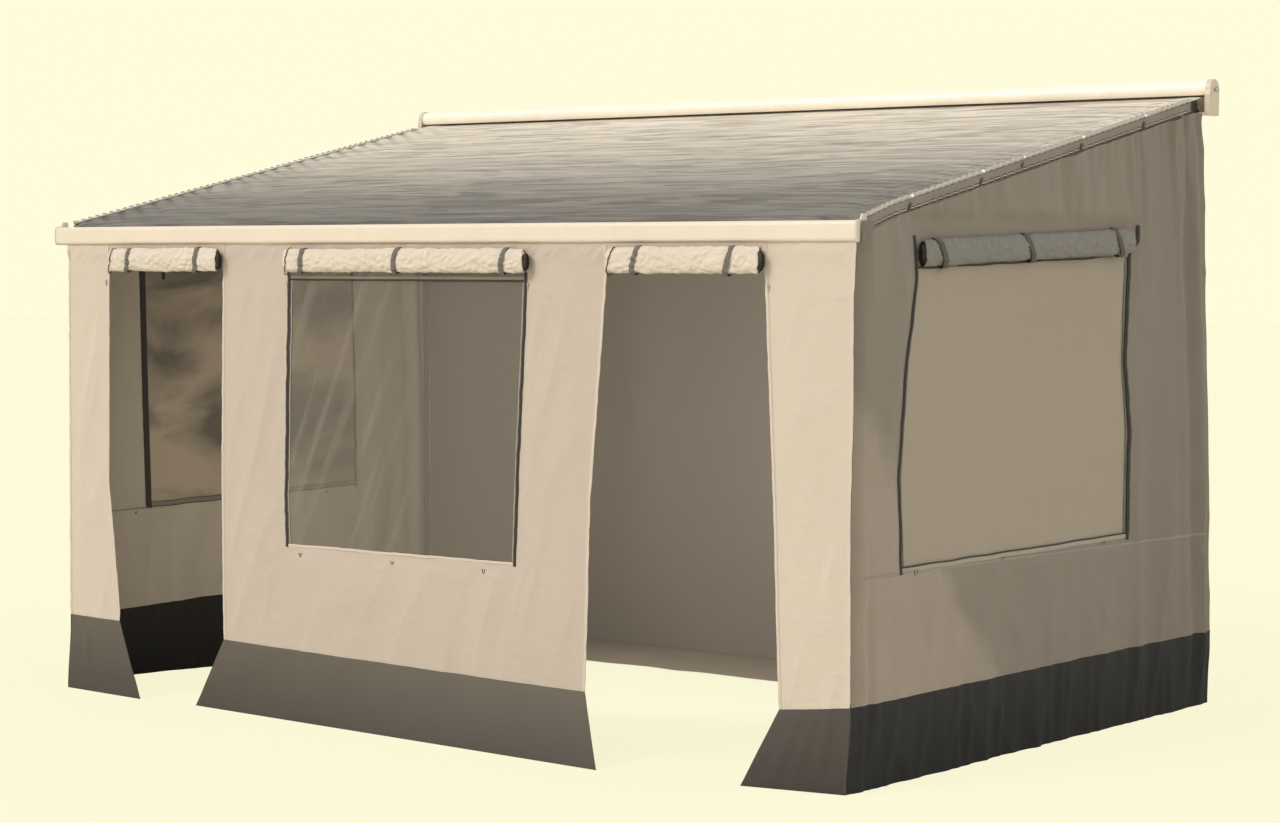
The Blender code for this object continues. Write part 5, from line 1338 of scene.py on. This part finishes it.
def rolled_cloth(name, node, ends, out, radius, sheet_length, strap_places, finish, dark_end, seed,
                 strength=1.0):
    """A sheet rolled up on itself between two points and pressed flat. dark_end is the end, 0 or 1, where its
    black zip tape stands out of the turns."""
    start, end = (Vector(point) for point in ends)
    run = (end - start).normalized()
    up = (Vector((0, 0, 1)) - run * run.z).normalized()
    length = (end - start).length
    core = 0.010
    pitch = math.pi * (radius**2 - core**2) / sheet_length
    turns = (radius - core) / pitch
    inner_turns = turns - 1.25
    shares = np.concatenate([
        np.linspace(0, inner_turns / turns, int(inner_turns * 22), endpoint=False),
        np.linspace(inner_turns / turns, 1, 90),
    ])
    line, share = np.meshgrid(np.linspace(0, 1, int(length / 0.0062)), shares)
    angle = math.radians(-150) - (1 - share) * turns * 2 * np.pi
    drawn_in = 0.015 * ramp(0.45, 0.92, share)
    ragged = 0.0045 * drift(angle * 1.7, share * 3, seed + 6) * ramp(0.5, 1.0, share)
    first, last = (drawn_in, 0 * share) if dark_end == 0 else (0 * share, drawn_in)
    along = (first + ragged) * (1 - line) + (length - last + ragged) * line
    spread = core + (radius - core) * share
    outer = ramp(0.35, 0.9, share)
    relief = outer * roll_crinkle(angle, along, strap_places, seed, strength)
    tuck = np.exp(-along / 0.030) + np.exp(-(length - along) / 0.030)
    spread = spread * (1 - 0.16 * tuck * (0.6 + 0.4 * np.sin(angle - 0.6)))
    run, up, out = np.array(run), np.array(up), np.array(out)
    points = roll_place(np.array(start), run, up, out, angle, along, spread, relief, seed)
    flat = np.stack([line * length, share * sheet_length], axis=-1)
    flip = float(np.dot(np.cross(out, up), run)) > 0
    roll = sew_cloth(name, points, flat, finish, [node], flip=flip, thick=0.0012)
    roll.data.materials.append(zip_tape)
    from_dark = along if dark_end == 0 else length - along
    dark = (from_dark < 0.018) & (share < 0.86)
    roll.data.polygons.foreach_set("material_index", dark[:-1, :-1].astype(int).ravel())
    return roll


def strap_loops(name, node, ends, out, radius, places, seed, header, header_finish, strength=1.0, slant=0.0105,
                wide=1.0, web=strap_web):
    """The header tape behind a roll, and a loop of webbing round it at each place."""
    profile = [(a * wide, o) for a, o in strap_profile]
    start, end = (Vector(point) for point in ends)
    run = (end - start).normalized()
    up = (Vector((0, 0, 1)) - run * run.z).normalized()
    length = (end - start).length
    first, last = (-0.028, length) if header else (min(places) - 0.02, max(places) + 0.02)
    top = header or 0.015
    run, up, out, start = np.array(run), np.array(up), np.array(out), np.array(start)
    behind = radius * roll_flatness + 0.0026
    band_at = np.linspace(first, last, 60)
    band_path = start + run * band_at[:, None] - out * behind
    band = ribbon(
        name + "_header", band_path, np.tile(up, (60, 1)), np.tile(out, (60, 1)),
        [(-0.015, 0.0), (-0.015, 0.0010), (top, 0.0010), (top, 0.0)], header_finish,
    )
    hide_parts(node)
    for number, place in enumerate(places):
        angle = np.radians(np.linspace(172, -172, 72))
        at = place + slant * np.sin(angle) + 0.0040 * np.sin(2.1 * angle + number + seed)
        slack = 0.0045 * np.exp(-(((angle + 1.45) / 0.5) ** 2))
        relief = roll_crinkle(angle, at, places, seed, strength) + 0.0022 + slack
        path = roll_place(start, run, up, out, angle, at, radius + 0 * at, relief, seed)
        radial = unit(out * np.cos(angle)[:, None] / roll_flatness + up * np.sin(angle)[:, None])
        ribbon(f"{name}_{number + 1}", path, np.tile(run, (72, 1)), radial, profile, web)


roll_radius = 0.0515
roll_y, roll_z = front_face - 0.0045 - 0.053 * roll_flatness, 1.847
off_front = (0.0, -1.0, 0.0)
for side, left, right, places, rolled, seed in (
    ("left", left_door_left, left_door_right, (-1.560, -1.154), 1.48, 71),
    ("right", right_door_left, right_door_right, (1.104, 1.518), 1.50, 81),
):
    first = float(edge(left)(roll_z)) + (0.034 if side == "left" else 0.026)
    last = float(edge(right)(roll_z)) + 0.008
    ends = ((first, roll_y, roll_z), (last, roll_y, roll_z))
    straps = [place - first for place in places]
    rolled_cloth(
        "rolled_door_" + side, "door_roll_" + side, ends, off_front, roll_radius, rolled, straps, roll_cream, 1,
        seed,
    )
    strap_loops("door_end_tape_" + side, "door_straps_" + side, ends, off_front, roll_radius, [0.016], seed, None,
                cream_cloth, 1.0, 0.012, 0.20, zip_tape)
    strap_loops(
        "door_strap_" + side, "door_straps_" + side, ends, off_front, roll_radius, straps, seed,
        rail_foot - 0.0005 - roll_z, cream_cloth,
    )
blind_ends = ((-0.654, roll_y, roll_z - 0.002), (0.598, roll_y, roll_z - 0.002))
blind_straps = [place + 0.654 for place in (-0.559, -0.056, 0.485)]
rolled_cloth(
    "rolled_front_blind", "front_blind_roll", blind_ends, off_front, 0.0500, 1.15, blind_straps, roll_cream,
    1, 91,
)
strap_loops("front_blind_end_tape", "front_blind_straps", blind_ends, off_front, 0.0500, [0.016], 91, None,
            cream_cloth, 1.0, 0.012, 0.20, zip_tape)
strap_loops("front_blind_strap", "front_blind_straps", blind_ends, off_front, 0.0500, blind_straps, 91, None,
            cream_cloth)

# The two side walls: taupe cloth that is zipped to the strips above and hangs in upright folds at the top and
# at the rear edge. A dark skirt is sewn on below, and a flat seam crosses the wall under the window.
side_seam = 0.305
side_window_foot, side_window_head = 0.760, 1.860
right_window_front = ((1.930, 0.410), (1.763, 0.389), (1.484, 0.326), (1.268, 0.302), (1.044, 0.291), (0.763, 0.315))
right_window_rear = ((1.930, 1.916), (1.679, 1.888), (1.426, 1.867), (1.172, 1.900), (0.758, 1.888))
left_window_front = ((1.930, 0.459), (1.777, 0.464), (1.220, 0.477), (0.750, 0.496))
left_window_rear = ((1.930, 1.894), (1.646, 1.896), (0.776, 1.911))
side_rear_edge = ((2.41, 2.473), (2.30, 2.500), (1.66, 2.535), (1.01, 2.557), (0.43, 2.566), (0.0, 2.572))
behind_rail = 0.0553


def side_relief(depth, z):
    """How far a side wall stands out of its plane."""
    top = roof_height(depth) - 0.045
    near_top = 1 - ramp(0.0, 0.45, top - z)
    near_rear = ramp(-0.52, -0.10, depth - 2.5)
    front, rear = edge(right_window_front)(z), edge(right_window_rear)(z)
    outside = np.max(np.stack([front - depth, depth - rear, side_window_foot - z, z - 1.970]), axis=0)
    window = ramp(0.03, 0.13, outside)
    to_rear = edge(side_rear_edge)(z) - depth
    ends = ramp(0.0, 0.12, depth) * ramp(0.0, 0.06, to_rear)
    wave = np.sin(2 * np.pi * depth / 0.27 + 0.8 * np.sin(2.2 * z)) * 0.5 + 0.5
    low = 0.35 * (1 - ramp(0.3, 0.7, z))
    base = 0.009 * ends * window * wave * np.minimum(1.0, near_top * 0.7 + near_rear + low)
    taut = ramp(0.0, 0.05, depth) * ramp(0.01, 0.07, outside)
    below = np.clip(top - z, 0, 3)
    fans = 0.0150 * creases(depth * 12 + 1.6 * z, z * 1.1, 101, 1.8) * np.exp(-below / 0.36)
    fans = fans + 0.0105 * creases(depth * 29 + 3.0 * z, z * 1.7, 117, 1.8) * np.exp(-below / 0.28)
    hung = 0.0110 * creases(depth * 6 - 0.7 * z, z * 0.8, 102, 2.4) * ramp(0.0, 0.2, below)
    slant = 0.0050 * creases(depth * 6 + 4.0 * (z - 1.2), z * 2 - depth * 3, 103, 2.4)
    small = 0.0009 * drift(depth * 17, z * 8, 104)
    low_folds = 0.0075 * creases(depth * 14 + 1.2 * z, z * 1.4, 118, 2.4) * np.exp(-np.clip(z - side_seam, 0, 3) / 0.16)
    corner_folds = np.exp(-(((depth - 0.105) / 0.016) ** 2)) + 0.7 * np.exp(-(((depth - 0.052) / 0.011) ** 2))
    low_folds = low_folds - 0.010 * corner_folds * (1 - ramp(0.5, 1.0, z))
    pleat = ramp(0.0, 0.25, z) * ramp(0.0, 0.04, to_rear - 0.01) * (
        -0.0170 * np.exp(-(((to_rear - 0.140) / 0.030) ** 2))
        + 0.0080 * np.exp(-(((to_rear - 0.215) / 0.035) ** 2))
        + 0.0120 * np.exp(-(((to_rear - 0.070) / 0.022) ** 2))
        - 0.0060 * np.exp(-(((to_rear - 0.028) / 0.010) ** 2))
    )
    front_line = np.exp(-(((depth - 0.030) / 0.012) ** 2)) * ramp(0.0, 0.012, depth) * ramp(0.02, 0.2, rail_foot - z)
    by_window = np.exp(-np.clip(np.abs(outside), 0, 1) / 0.04) * (
        0.0014 * drift(z * 19, depth * 12, 105) + 0.0016 * creases(z * 15, depth * 9, 119, 2.0)
    )
    by_seam = np.exp(-np.abs(z - side_seam) / 0.03) * drift(depth * 34, z * 4, 106) * 0.0014
    loose = taut * (fans + hung + slant + small + low_folds)
    return base + loose + pleat - 0.003 * front_line + by_window * ends + by_seam * ends


def on_side(sign, depth, z, inward=0.0):
    over_cap = 0.0115 * ramp(rail_foot - 0.035, rail_foot, z) * (1 - ramp(behind_rail, 0.074, depth)) * (sign > 0)
    out = wall_reach(depth) + side_relief(depth, z) - inward + over_cap
    return np.stack([sign * out + lean(sign, depth, z), front_face + depth, z], axis=-1)


def side_head(depth):
    """The wall's head under the strip. At the front it is cut back to the rail's underside."""
    hung = roof_height(np.minimum(depth, strip_end)) - 0.0457
    return np.where(depth <= behind_rail, rail_foot - 0.0004, hung)


taupe = (0.285, 0.243, 0.192)


def side_shades(tree):
    """Taupe with a painted sunlit patch low down behind the front corner, and painted shade along the front corner
    and towards the rear edge.
    """
    place = lay(tree, "ShaderNodeUVMap", uv_map="cloth")
    apart = lay(tree, "ShaderNodeSeparateXYZ")
    ragged = lay(tree, "ShaderNodeTexNoise", {"Scale": 2.6, "Detail": 4, "Roughness": 0.6})
    wander = lay(tree, "ShaderNodeMath", {1: 0.45}, operation="MULTIPLY")
    reach = lay(tree, "ShaderNodeMath", operation="ADD")
    slanting = lay(tree, "ShaderNodeMath", {1: 0.85, 2: 0.0}, operation="MULTIPLY_ADD")
    # Painted sunlit patch: lighter taupe low down behind the front corner.
    painted_sun_patch = lay(tree, "ShaderNodeMapRange", {"From Min": 1.32, "From Max": 1.50, "To Min": 1.0, "To Max": 0.0},
                   interpolation_type="SMOOTHSTEP")
    # Painted shade along the front corner.
    by_corner = lay(tree, "ShaderNodeMapRange", {"From Min": 0.0, "From Max": 0.09, "To Min": 0.78, "To Max": 1.0},
                    interpolation_type="SMOOTHSTEP")
    # Painted shade towards the rear edge.
    rear_painted_shade = lay(tree, "ShaderNodeMapRange", {"From Min": 1.75, "From Max": 2.15, "To Min": 1.0, "To Max": 0.90},
                  interpolation_type="SMOOTHSTEP")
    painted_shade_at_ends = lay(tree, "ShaderNodeMath", operation="MULTIPLY")
    # B is the painted sunlit patch's colour.
    tone = lay(tree, "ShaderNodeMix", {"A": (*taupe, 1), "B": (0.392, 0.324, 0.256, 1)}, data_type="RGBA")
    shaded = lay(tree, "ShaderNodeVectorMath", operation="SCALE")
    wire(
        tree,
        (place, "UV", apart, "Vector"),
        (place, "UV", ragged, "Vector"),
        (ragged, "Fac", wander, 0),
        (apart, "Y", slanting, 0),
        (apart, "X", slanting, 2),
        (slanting, "Value", reach, 0),
        (wander, "Value", reach, 1),
        (reach, "Value", painted_sun_patch, "Value"),
        (painted_sun_patch, "Result", tone, "Factor"),
        (apart, "X", by_corner, "Value"),
        (apart, "X", rear_painted_shade, "Value"),
        (by_corner, "Result", painted_shade_at_ends, 0),
        (rear_painted_shade, "Result", painted_shade_at_ends, 1),
        (tone, "Result", shaded, 0),
        (painted_shade_at_ends, "Value", shaded, "Scale"),
    )
    return shaded, "Vector"


taupe_cloth = woven("taupe_cloth", taupe, 0.07, 0.5, 0.008, 0.8, side_shades, 1.2)
# The side walls' inner face: the same taupe cloth, painted lighter to offset the shade inside the room.
inner_face_painted_lit = woven("inner_face_painted_lit", (0.425, 0.362, 0.282), 0.10, 0.5, 0.008, 0.8, None, 1.2)
side_skirt_cloth = woven(
    "side_skirt_cloth", (0.05, 0.045, 0.038), 0.15, 0.5, 0.003, 0.5,
    skirt_shades((0.0155, 0.0142, 0.0125), (0.0080, 0.0073, 0.0065)),
)
seam_tape = woven(
    "seam_tape", (0.325, 0.277, 0.215), 0.06, 0.4, 0.001,
    colour_from=stitched((0.325, 0.277, 0.215), [
        (-0.0035, (0.15, 0.125, 0.095), 0.0008, 0.006), (0.0035, (0.15, 0.125, 0.095), 0.0008, 0.006),
    ]),
)
sill_tape = woven("sill_tape", (0.38, 0.33, 0.26), 0.06, 0.4, 0.001)
film_edge = woven("film_edge", (0.20, 0.175, 0.14), 0.08, 0.3, 0.001)
inner_tape = woven("inner_tape", (0.035, 0.029, 0.024), 0.1, 0.3, 0.001)
inner_sill = woven(
    "inner_sill", (0.175, 0.147, 0.112), 0.06, 0.3, 0.001,
    colour_from=stitched((0.175, 0.147, 0.112), [
        (-0.0108, (0.05, 0.042, 0.033), 0.0022, 9.0), (0.0108, (0.07, 0.059, 0.046), 0.0018, 9.0),
    ]),
)
inner_seam = woven("inner_seam", (0.20, 0.17, 0.13), 0.06, 0.3, 0.001)
corner_tape = woven("corner_tape", (0.14, 0.12, 0.09), 0.06, 0.3, 0.001)
curtain_cloth = woven("curtain_cloth", (0.500, 0.430, 0.338), 0.04, 0.04, 0.002, 0.85)
clear_side_film = smoky_film("clear_side_film", (0.46, 0.40, 0.32), 0.22, 0.28, 0.0004)
# The left side film: near opaque, with a painted reflection of a cloudy sky.
sky_reflection_film = smoky_film(
    "sky_reflection_film", (0.2, 0.16, 0.11), 0.97, 0.98, 0.0005,
    ((0.38, (0.135, 0.117, 0.090)), (0.60, (0.39, 0.31, 0.22))),
)
dark_web = woven("dark_web", (0.090, 0.078, 0.066), 0.12, 0.3, 0.001)
roll_grey = woven("roll_grey", (0.262, 0.250, 0.218), 0.08, 1.0, 0.010, fineness=2.0)
for side, sign, front_line, rear_line in (
    ("left", -1, edge(left_window_front), edge(left_window_rear)),
    ("right", 1, edge(right_window_front), edge(right_window_rear)),
):
    uprights = [steady(0.0033), steady(behind_rail), steady(strip_start), front_line, rear_line, edge(side_rear_edge)]
    levels = [steady(side_seam), steady(side_window_foot), steady(side_window_head), side_head]
    columns, rows = [3, 1, 20, 90, 56], [34, 66, 34]
    depth, z = cloth_net(uprights, columns, levels, rows)
    open_cells = np.zeros((depth.shape[0] - 1, depth.shape[1] - 1), bool)
    open_cells[rows[0] : rows[0] + rows[1], sum(columns[:3]) : sum(columns[:4])] = True
    wall_name = f"side_wall_{side}_cloth"
    side_wall = sew_cloth(
        wall_name, on_side(sign, depth, z), np.stack([depth, z], axis=-1), taupe_cloth,
        ["side_wall_" + side], flip=sign < 0, open_cells=open_cells,
    )
    # The inner face takes the lighter taupe: painted light.
    side_wall.data.materials.append(inner_face_painted_lit)
    side_wall.modifiers["thickness"].material_offset = 1
    depth, z = cloth_net([steady(0.0033), edge(side_rear_edge)], [170], [steady(0.0), steady(side_seam - 0.0005)], [30])
    wrinkle = 0.0022 * drift(depth * 26, z * 6, 107) * np.exp(-(side_seam - z) / 0.05) * ramp(0, 0.02, side_seam - z)
    crumple = 0.0020 * drift(depth * 6, z * 9, 108) * ramp(0.0, 0.06, z)
    skirt_points = on_side(sign, depth, z)
    skirt_points[..., 0] += sign * np.abs(wrinkle + crumple) * ramp(0.0, 0.03, depth)
    if side == "left":
        swing = ramp(0.38, 0.85, depth) * (1 - ramp(1.3, 2.1, depth)) * np.clip(1 - z / side_seam, 0, 1) ** 1.3
        skirt_points[..., 0] += 0.125 * swing
    sew_cloth(
        f"side_skirt_{side}_cloth", skirt_points, np.stack([depth, z], axis=-1), side_skirt_cloth,
        ["side_skirt_" + side], {"seam": np.stack([1 - z / side_seam, depth], axis=-1)},
        flip=sign < 0, thick=0.0016,
    )
    outward = np.array((sign * 1.0, 0, 0))
    seam_depth = np.linspace(0.01, 2.53, 220)
    seam_path = on_side(sign, seam_depth, 0.748 - 0.014 * seam_depth, -0.0001)
    if side == "right":
        end_uprights = [steady(0.012), steady(strip_start + 0.004)]
        end_levels = [steady(rail_foot - 0.003), steady(1.9840)]
        depth, z = cloth_net(end_uprights, [14], end_levels, [18])
        end_cloth = on_side(sign, depth, z)
        end_cloth[..., 0] = np.maximum(end_cloth[..., 0], 2.0388 + 0.0012 * drift(depth * 60, z * 30, 123))
        sew_cloth(
            "rail_end_cloth", end_cloth, np.stack([depth, z], axis=-1), taupe_cloth,
            ["side_wall_right"], thick=0.0010,
        )
    flat_tape(
        "side_seam_" + side, seam_path, np.tile((0.0, 0, 1), (220, 1)), np.tile(outward, (220, 1)), 0.011, seam_tape,
    )

    # Each side window: film behind the opening, a wavy dark zip up both of its sides and a pale sill. On the
    # right a tan curtain is closed behind the film, and the left one's film carries a painted reflection of a cloudy
    # sky.
    lap = 0.016
    depth, z = cloth_net(
        [lambda h: front_line(h) - lap, lambda h: rear_line(h) + lap], [70],
        [steady(side_window_foot - lap), steady(side_window_head + lap)], [60],
    )
    film_points = on_side(sign, depth, z, cad_cloth + 0.0004 + np.abs(0.0012 * drift(depth * 3, z * 3, 109)))
    sew_cloth(
        "side_window_film_" + side, film_points, np.stack([depth, z], axis=-1),
        clear_side_film if side == "right" else sky_reflection_film, ["side_window_pane_" + side],
        flip=sign < 0, thick=0.0006,
    )
    if side == "right":
        lap = 0.028
        depth, z = cloth_net(
            [lambda h: front_line(h) - lap, lambda h: rear_line(h) + lap], [90],
            [steady(side_window_foot - lap), steady(side_window_head + lap)], [50],
        )
        pleats = 0.0016 * (0.5 + 0.5 * np.sin(2 * np.pi * depth / 0.21 + drift(depth * 3, z, 110))) + 0.0062
        sew_cloth(
            "side_window_curtain", on_side(sign, depth, z, pleats), np.stack([depth, z], axis=-1), curtain_cloth,
            ["side_curtain_right"], flip=sign < 0, thick=0.001,
        )
    # The rear zips are drawn 1.70 times the tape's width: the dark beyond the tape is painted shadow.
    for label, line, way, head, broad in (
        ("front", front_line, -1, 1.936, 1.20), ("rear", rear_line, 1, 1.985, 1.70),
    ):
        height = np.linspace(side_window_foot - 0.022, head, 170)
        waver = 0.0040 * drift(height * 9, height * 0, 111 + way) + 0.045 * ramp(1.865, 1.925, height) * (way > 0)
        zip_path = on_side(sign, line(height) + way * 0.004 + waver, height)
        zip_run(
            f"side_window_zip_{side}_{label}", zip_path, np.tile((0.0, 1, 0), (170, 1)), np.tile(outward, (170, 1)),
            broad, 112,
        )
    border_height = np.linspace(side_window_foot, 1.850, 120)
    for label, line, way, wide in (("front", front_line, 1, 0.009), ("rear", rear_line, -1, 0.016)):
        border_path = on_side(sign, line(border_height) + way * (0.006 + wide / 2), border_height, 0.0026)
        flat_tape(
            f"side_window_border_{side}_{label}", border_path, np.tile((0.0, 1, 0), (120, 1)),
            np.tile(outward, (120, 1)), wide, film_edge,
        )
    head_share = np.linspace(0, 1, 150)
    head_line = 1.820 + 0.044 * head_share + 0.0030 * drift(head_share * 14, head_share * 0, 114)
    head_depth = 0.398 + 1.497 * head_share
    flat_tape(
        "side_window_head_" + side, on_side(sign, head_depth, head_line, 0.0022), np.tile((0.0, 0, 1), (150, 1)),
        np.tile(outward, (150, 1)), 0.0075, zip_tape,
    )
    sill_depth = np.linspace(float(front_line(0.76)) - 0.006, float(rear_line(0.76)) + 0.006, 120)
    sill_line = side_window_foot - 0.009 + 0.0015 * drift(sill_depth * 8, sill_depth * 0, 113)
    for label, lower, wide, finish in (("pale", 0.0, 0.014, sill_tape), ("dark", 0.0115, 0.0055, zip_tape)):
        flat_tape(
            f"side_window_sill_{side}_{label}", on_side(sign, sill_depth, sill_line + lower, -0.0002),
            np.tile((0.0, 0, 1), (120, 1)), np.tile(outward, (120, 1)), wide, finish,
        )
    for number, depth_at in enumerate((0.400, 0.974, 1.704)):
        centre = on_side(sign, np.array(depth_at), np.array(0.745))
        toggle(f"side_toggle_{side}_{number + 1}", centre, np.array((0.0, 1.0, 0)), outward, 1.5)

    # The side window's blind, rolled up a little askew, in grey outer cloth with short creases.
    away = Vector((sign, -0.054, 0)).normalized()
    ends = []
    for depth_at, height in ((0.415, 1.872), (1.900, 1.920)):
        foot = Vector((sign * wall_reach(depth_at), front_face + depth_at, height))
        ends.append(foot + away * (0.0045 + 0.055 * roll_flatness))
    places = [(place - 0.415) * math.hypot(1, 0.054) for place in (0.535, 1.124, 1.777)]
    rolled_cloth(
        "rolled_side_blind_" + side, "side_blind_roll_" + side, ends, tuple(away), 0.0535, 1.18, places, roll_grey,
        0, 121, 0.8,
    )
    strap_loops("side_blind_strap_" + side, "side_blind_straps_" + side, ends, tuple(away), 0.0535, places, 121, None,
                taupe_cloth, 0.8, -0.024, 1.45, dark_web)

    # On the inner face the window's zips are backed by black tape, its sill by a brown one, and dark tape closes
    # the corner between the side wall and the rear one. The left window also has a short tab at its head.
    inside_way = np.tile(-outward, (120, 1))
    inner_height = np.linspace(side_window_foot - 0.02, 1.90, 120)
    for label, line, off, wide in (("front", front_line, -0.018, 0.034), ("rear", rear_line, 0.006, 0.013)):
        backing = on_side(sign, line(inner_height) + off, inner_height, 0.0048 if side == "left" else 0.0100)
        flat_tape(
            f"side_inner_tape_{side}_{label}", backing, np.tile((0.0, 1, 0), (120, 1)), inside_way, wide, inner_tape,
        )
    flat_tape(
        "side_inner_sill_" + side, on_side(sign, sill_depth, sill_line + 0.004, 0.0050 if side == "left" else 0.0102),
        np.tile((0.0, 0, 1), (120, 1)), inside_way, 0.026, inner_sill,
    )
    inner_run = np.linspace(0.03, float(front_line(0.76)) - 0.02, 120)
    flat_tape(
        "side_inner_seam_" + side, on_side(sign, inner_run, 0.744 + 0 * inner_run, 0.0050),
        np.tile((0.0, 0, 1), (120, 1)), inside_way, 0.0045, inner_seam,
    )
    corner_height = np.linspace(0.01, 2.36, 120)
    corner_run = on_side(sign, 2.484 + 0 * corner_height, corner_height, 0.0022)
    corner_way = unit(np.array((-sign * 0.8, 0.6, 0)))
    ribbon(
        "rear_corner_tape_" + side, corner_run, np.tile(corner_way, (120, 1)),
        np.tile((-sign * 0.6, -0.8, 0), (120, 1)), [(-0.002, 0.0), (-0.002, 0.001), (0.030, 0.001), (0.030, 0.0)],
        corner_tape,
    )
    if side == "left":
        tab_height = np.linspace(1.757, 1.812, 5)
        tab_run = on_side(sign, np.full(5, 0.579), tab_height, 0.0062)
        flat_tape(
            "side_window_tab", tab_run, np.tile((0.0, 1, 0), (5, 1)), inside_way[:5], 0.020, inner_tape,
        )

# The rear: a plain taupe wall that closes the room against the vehicle, hung under the case, and a flap on its
# foot that lies inwards on the ground.
rear_half = float(wall_reach(2.5)) - 0.009
rear_x, rear_z = np.meshgrid(np.linspace(-rear_half, rear_half, 200), np.linspace(0.0, 2.4445, 110))
rear_sway = 0.006 * np.sin(2 * np.pi * rear_x / 0.6) * np.sin(np.pi * rear_z / 2.445)
rear_soft = 0.0030 * drift(rear_x * 5, rear_z * 0.9, 131) * ramp(0, 0.3, rear_z) * ramp(0, 0.2, 2.44 - rear_z)
rear_points = np.stack(
    [rear_x + lean(1, 2.5, np.minimum(rear_z, 2.40)), front_face + 2.5 + rear_sway + rear_soft, rear_z], axis=-1
)
rear_cloth = woven("rear_cloth", (0.262, 0.226, 0.182), 0.04, 0.3, 0.003, 0.85)
flap_cloth = woven("flap_cloth", (0.40, 0.345, 0.27), 0.05, 0.4, 0.003, 0.85)
sew_cloth("rear_wall_cloth", rear_points, np.stack([rear_x, rear_z], axis=-1), rear_cloth,
          ["rear_wall"], flip=True)
flap_across, flap_depth = np.meshgrid(np.linspace(-1, 1, 160), np.linspace(1.9467, 2.4960, 30))
flap_x = flap_across * (wall_reach(flap_depth) - 0.009)
flap_lift = 0.0040 * np.abs(drift(flap_x * 3.2, flap_depth * 4, 132)) * ramp(0, 0.1, 2.49 - flap_depth)
flap_points = np.stack([flap_x, front_face + flap_depth, 0.0030 + flap_lift], axis=-1)
sew_cloth("ground_flap_cloth", flap_points, np.stack([flap_x, flap_depth], axis=-1), flap_cloth,
          ["rear_ground_flap"])

# The frame inside: folding legs of drawn alloy with plastic joints and clamps, and the telescopic rafters with
# their black hooks under the case.
leg_alloy = drawn_metal("leg_alloy", (0.64, 0.63, 0.60), (500, 500, 3))
rafter_alloy = drawn_metal("rafter_alloy", (0.66, 0.65, 0.62), (500, 3, 500))
black_plastic = moulded_plastic("black_plastic", (0.035, 0.033, 0.030), 0.25)
grey_plastic = moulded_plastic("grey_plastic", (0.20, 0.19, 0.175), 0.2)
slider_coat = powder_coat("slider_coat", (0.40, 0.345, 0.27), 0.2)
for side in ("left", "right"):
    refinish(leg_alloy, f"leg_{side}_upper_tube", f"leg_{side}_lower_tube")
    refinish(rafter_alloy, f"rafter_{side}_outer_tube", f"rafter_{side}_inner_tube")
    refinish(black_plastic, f"rafter_{side}_hook", f"leg_{side}_clamp_lever")
    refinish(slider_coat, f"front_zip_slider_{side}", f"door_zip_slider_{side}")
    refinish(grey_plastic, f"leg_bracket_{side}", f"leg_{side}_foot")
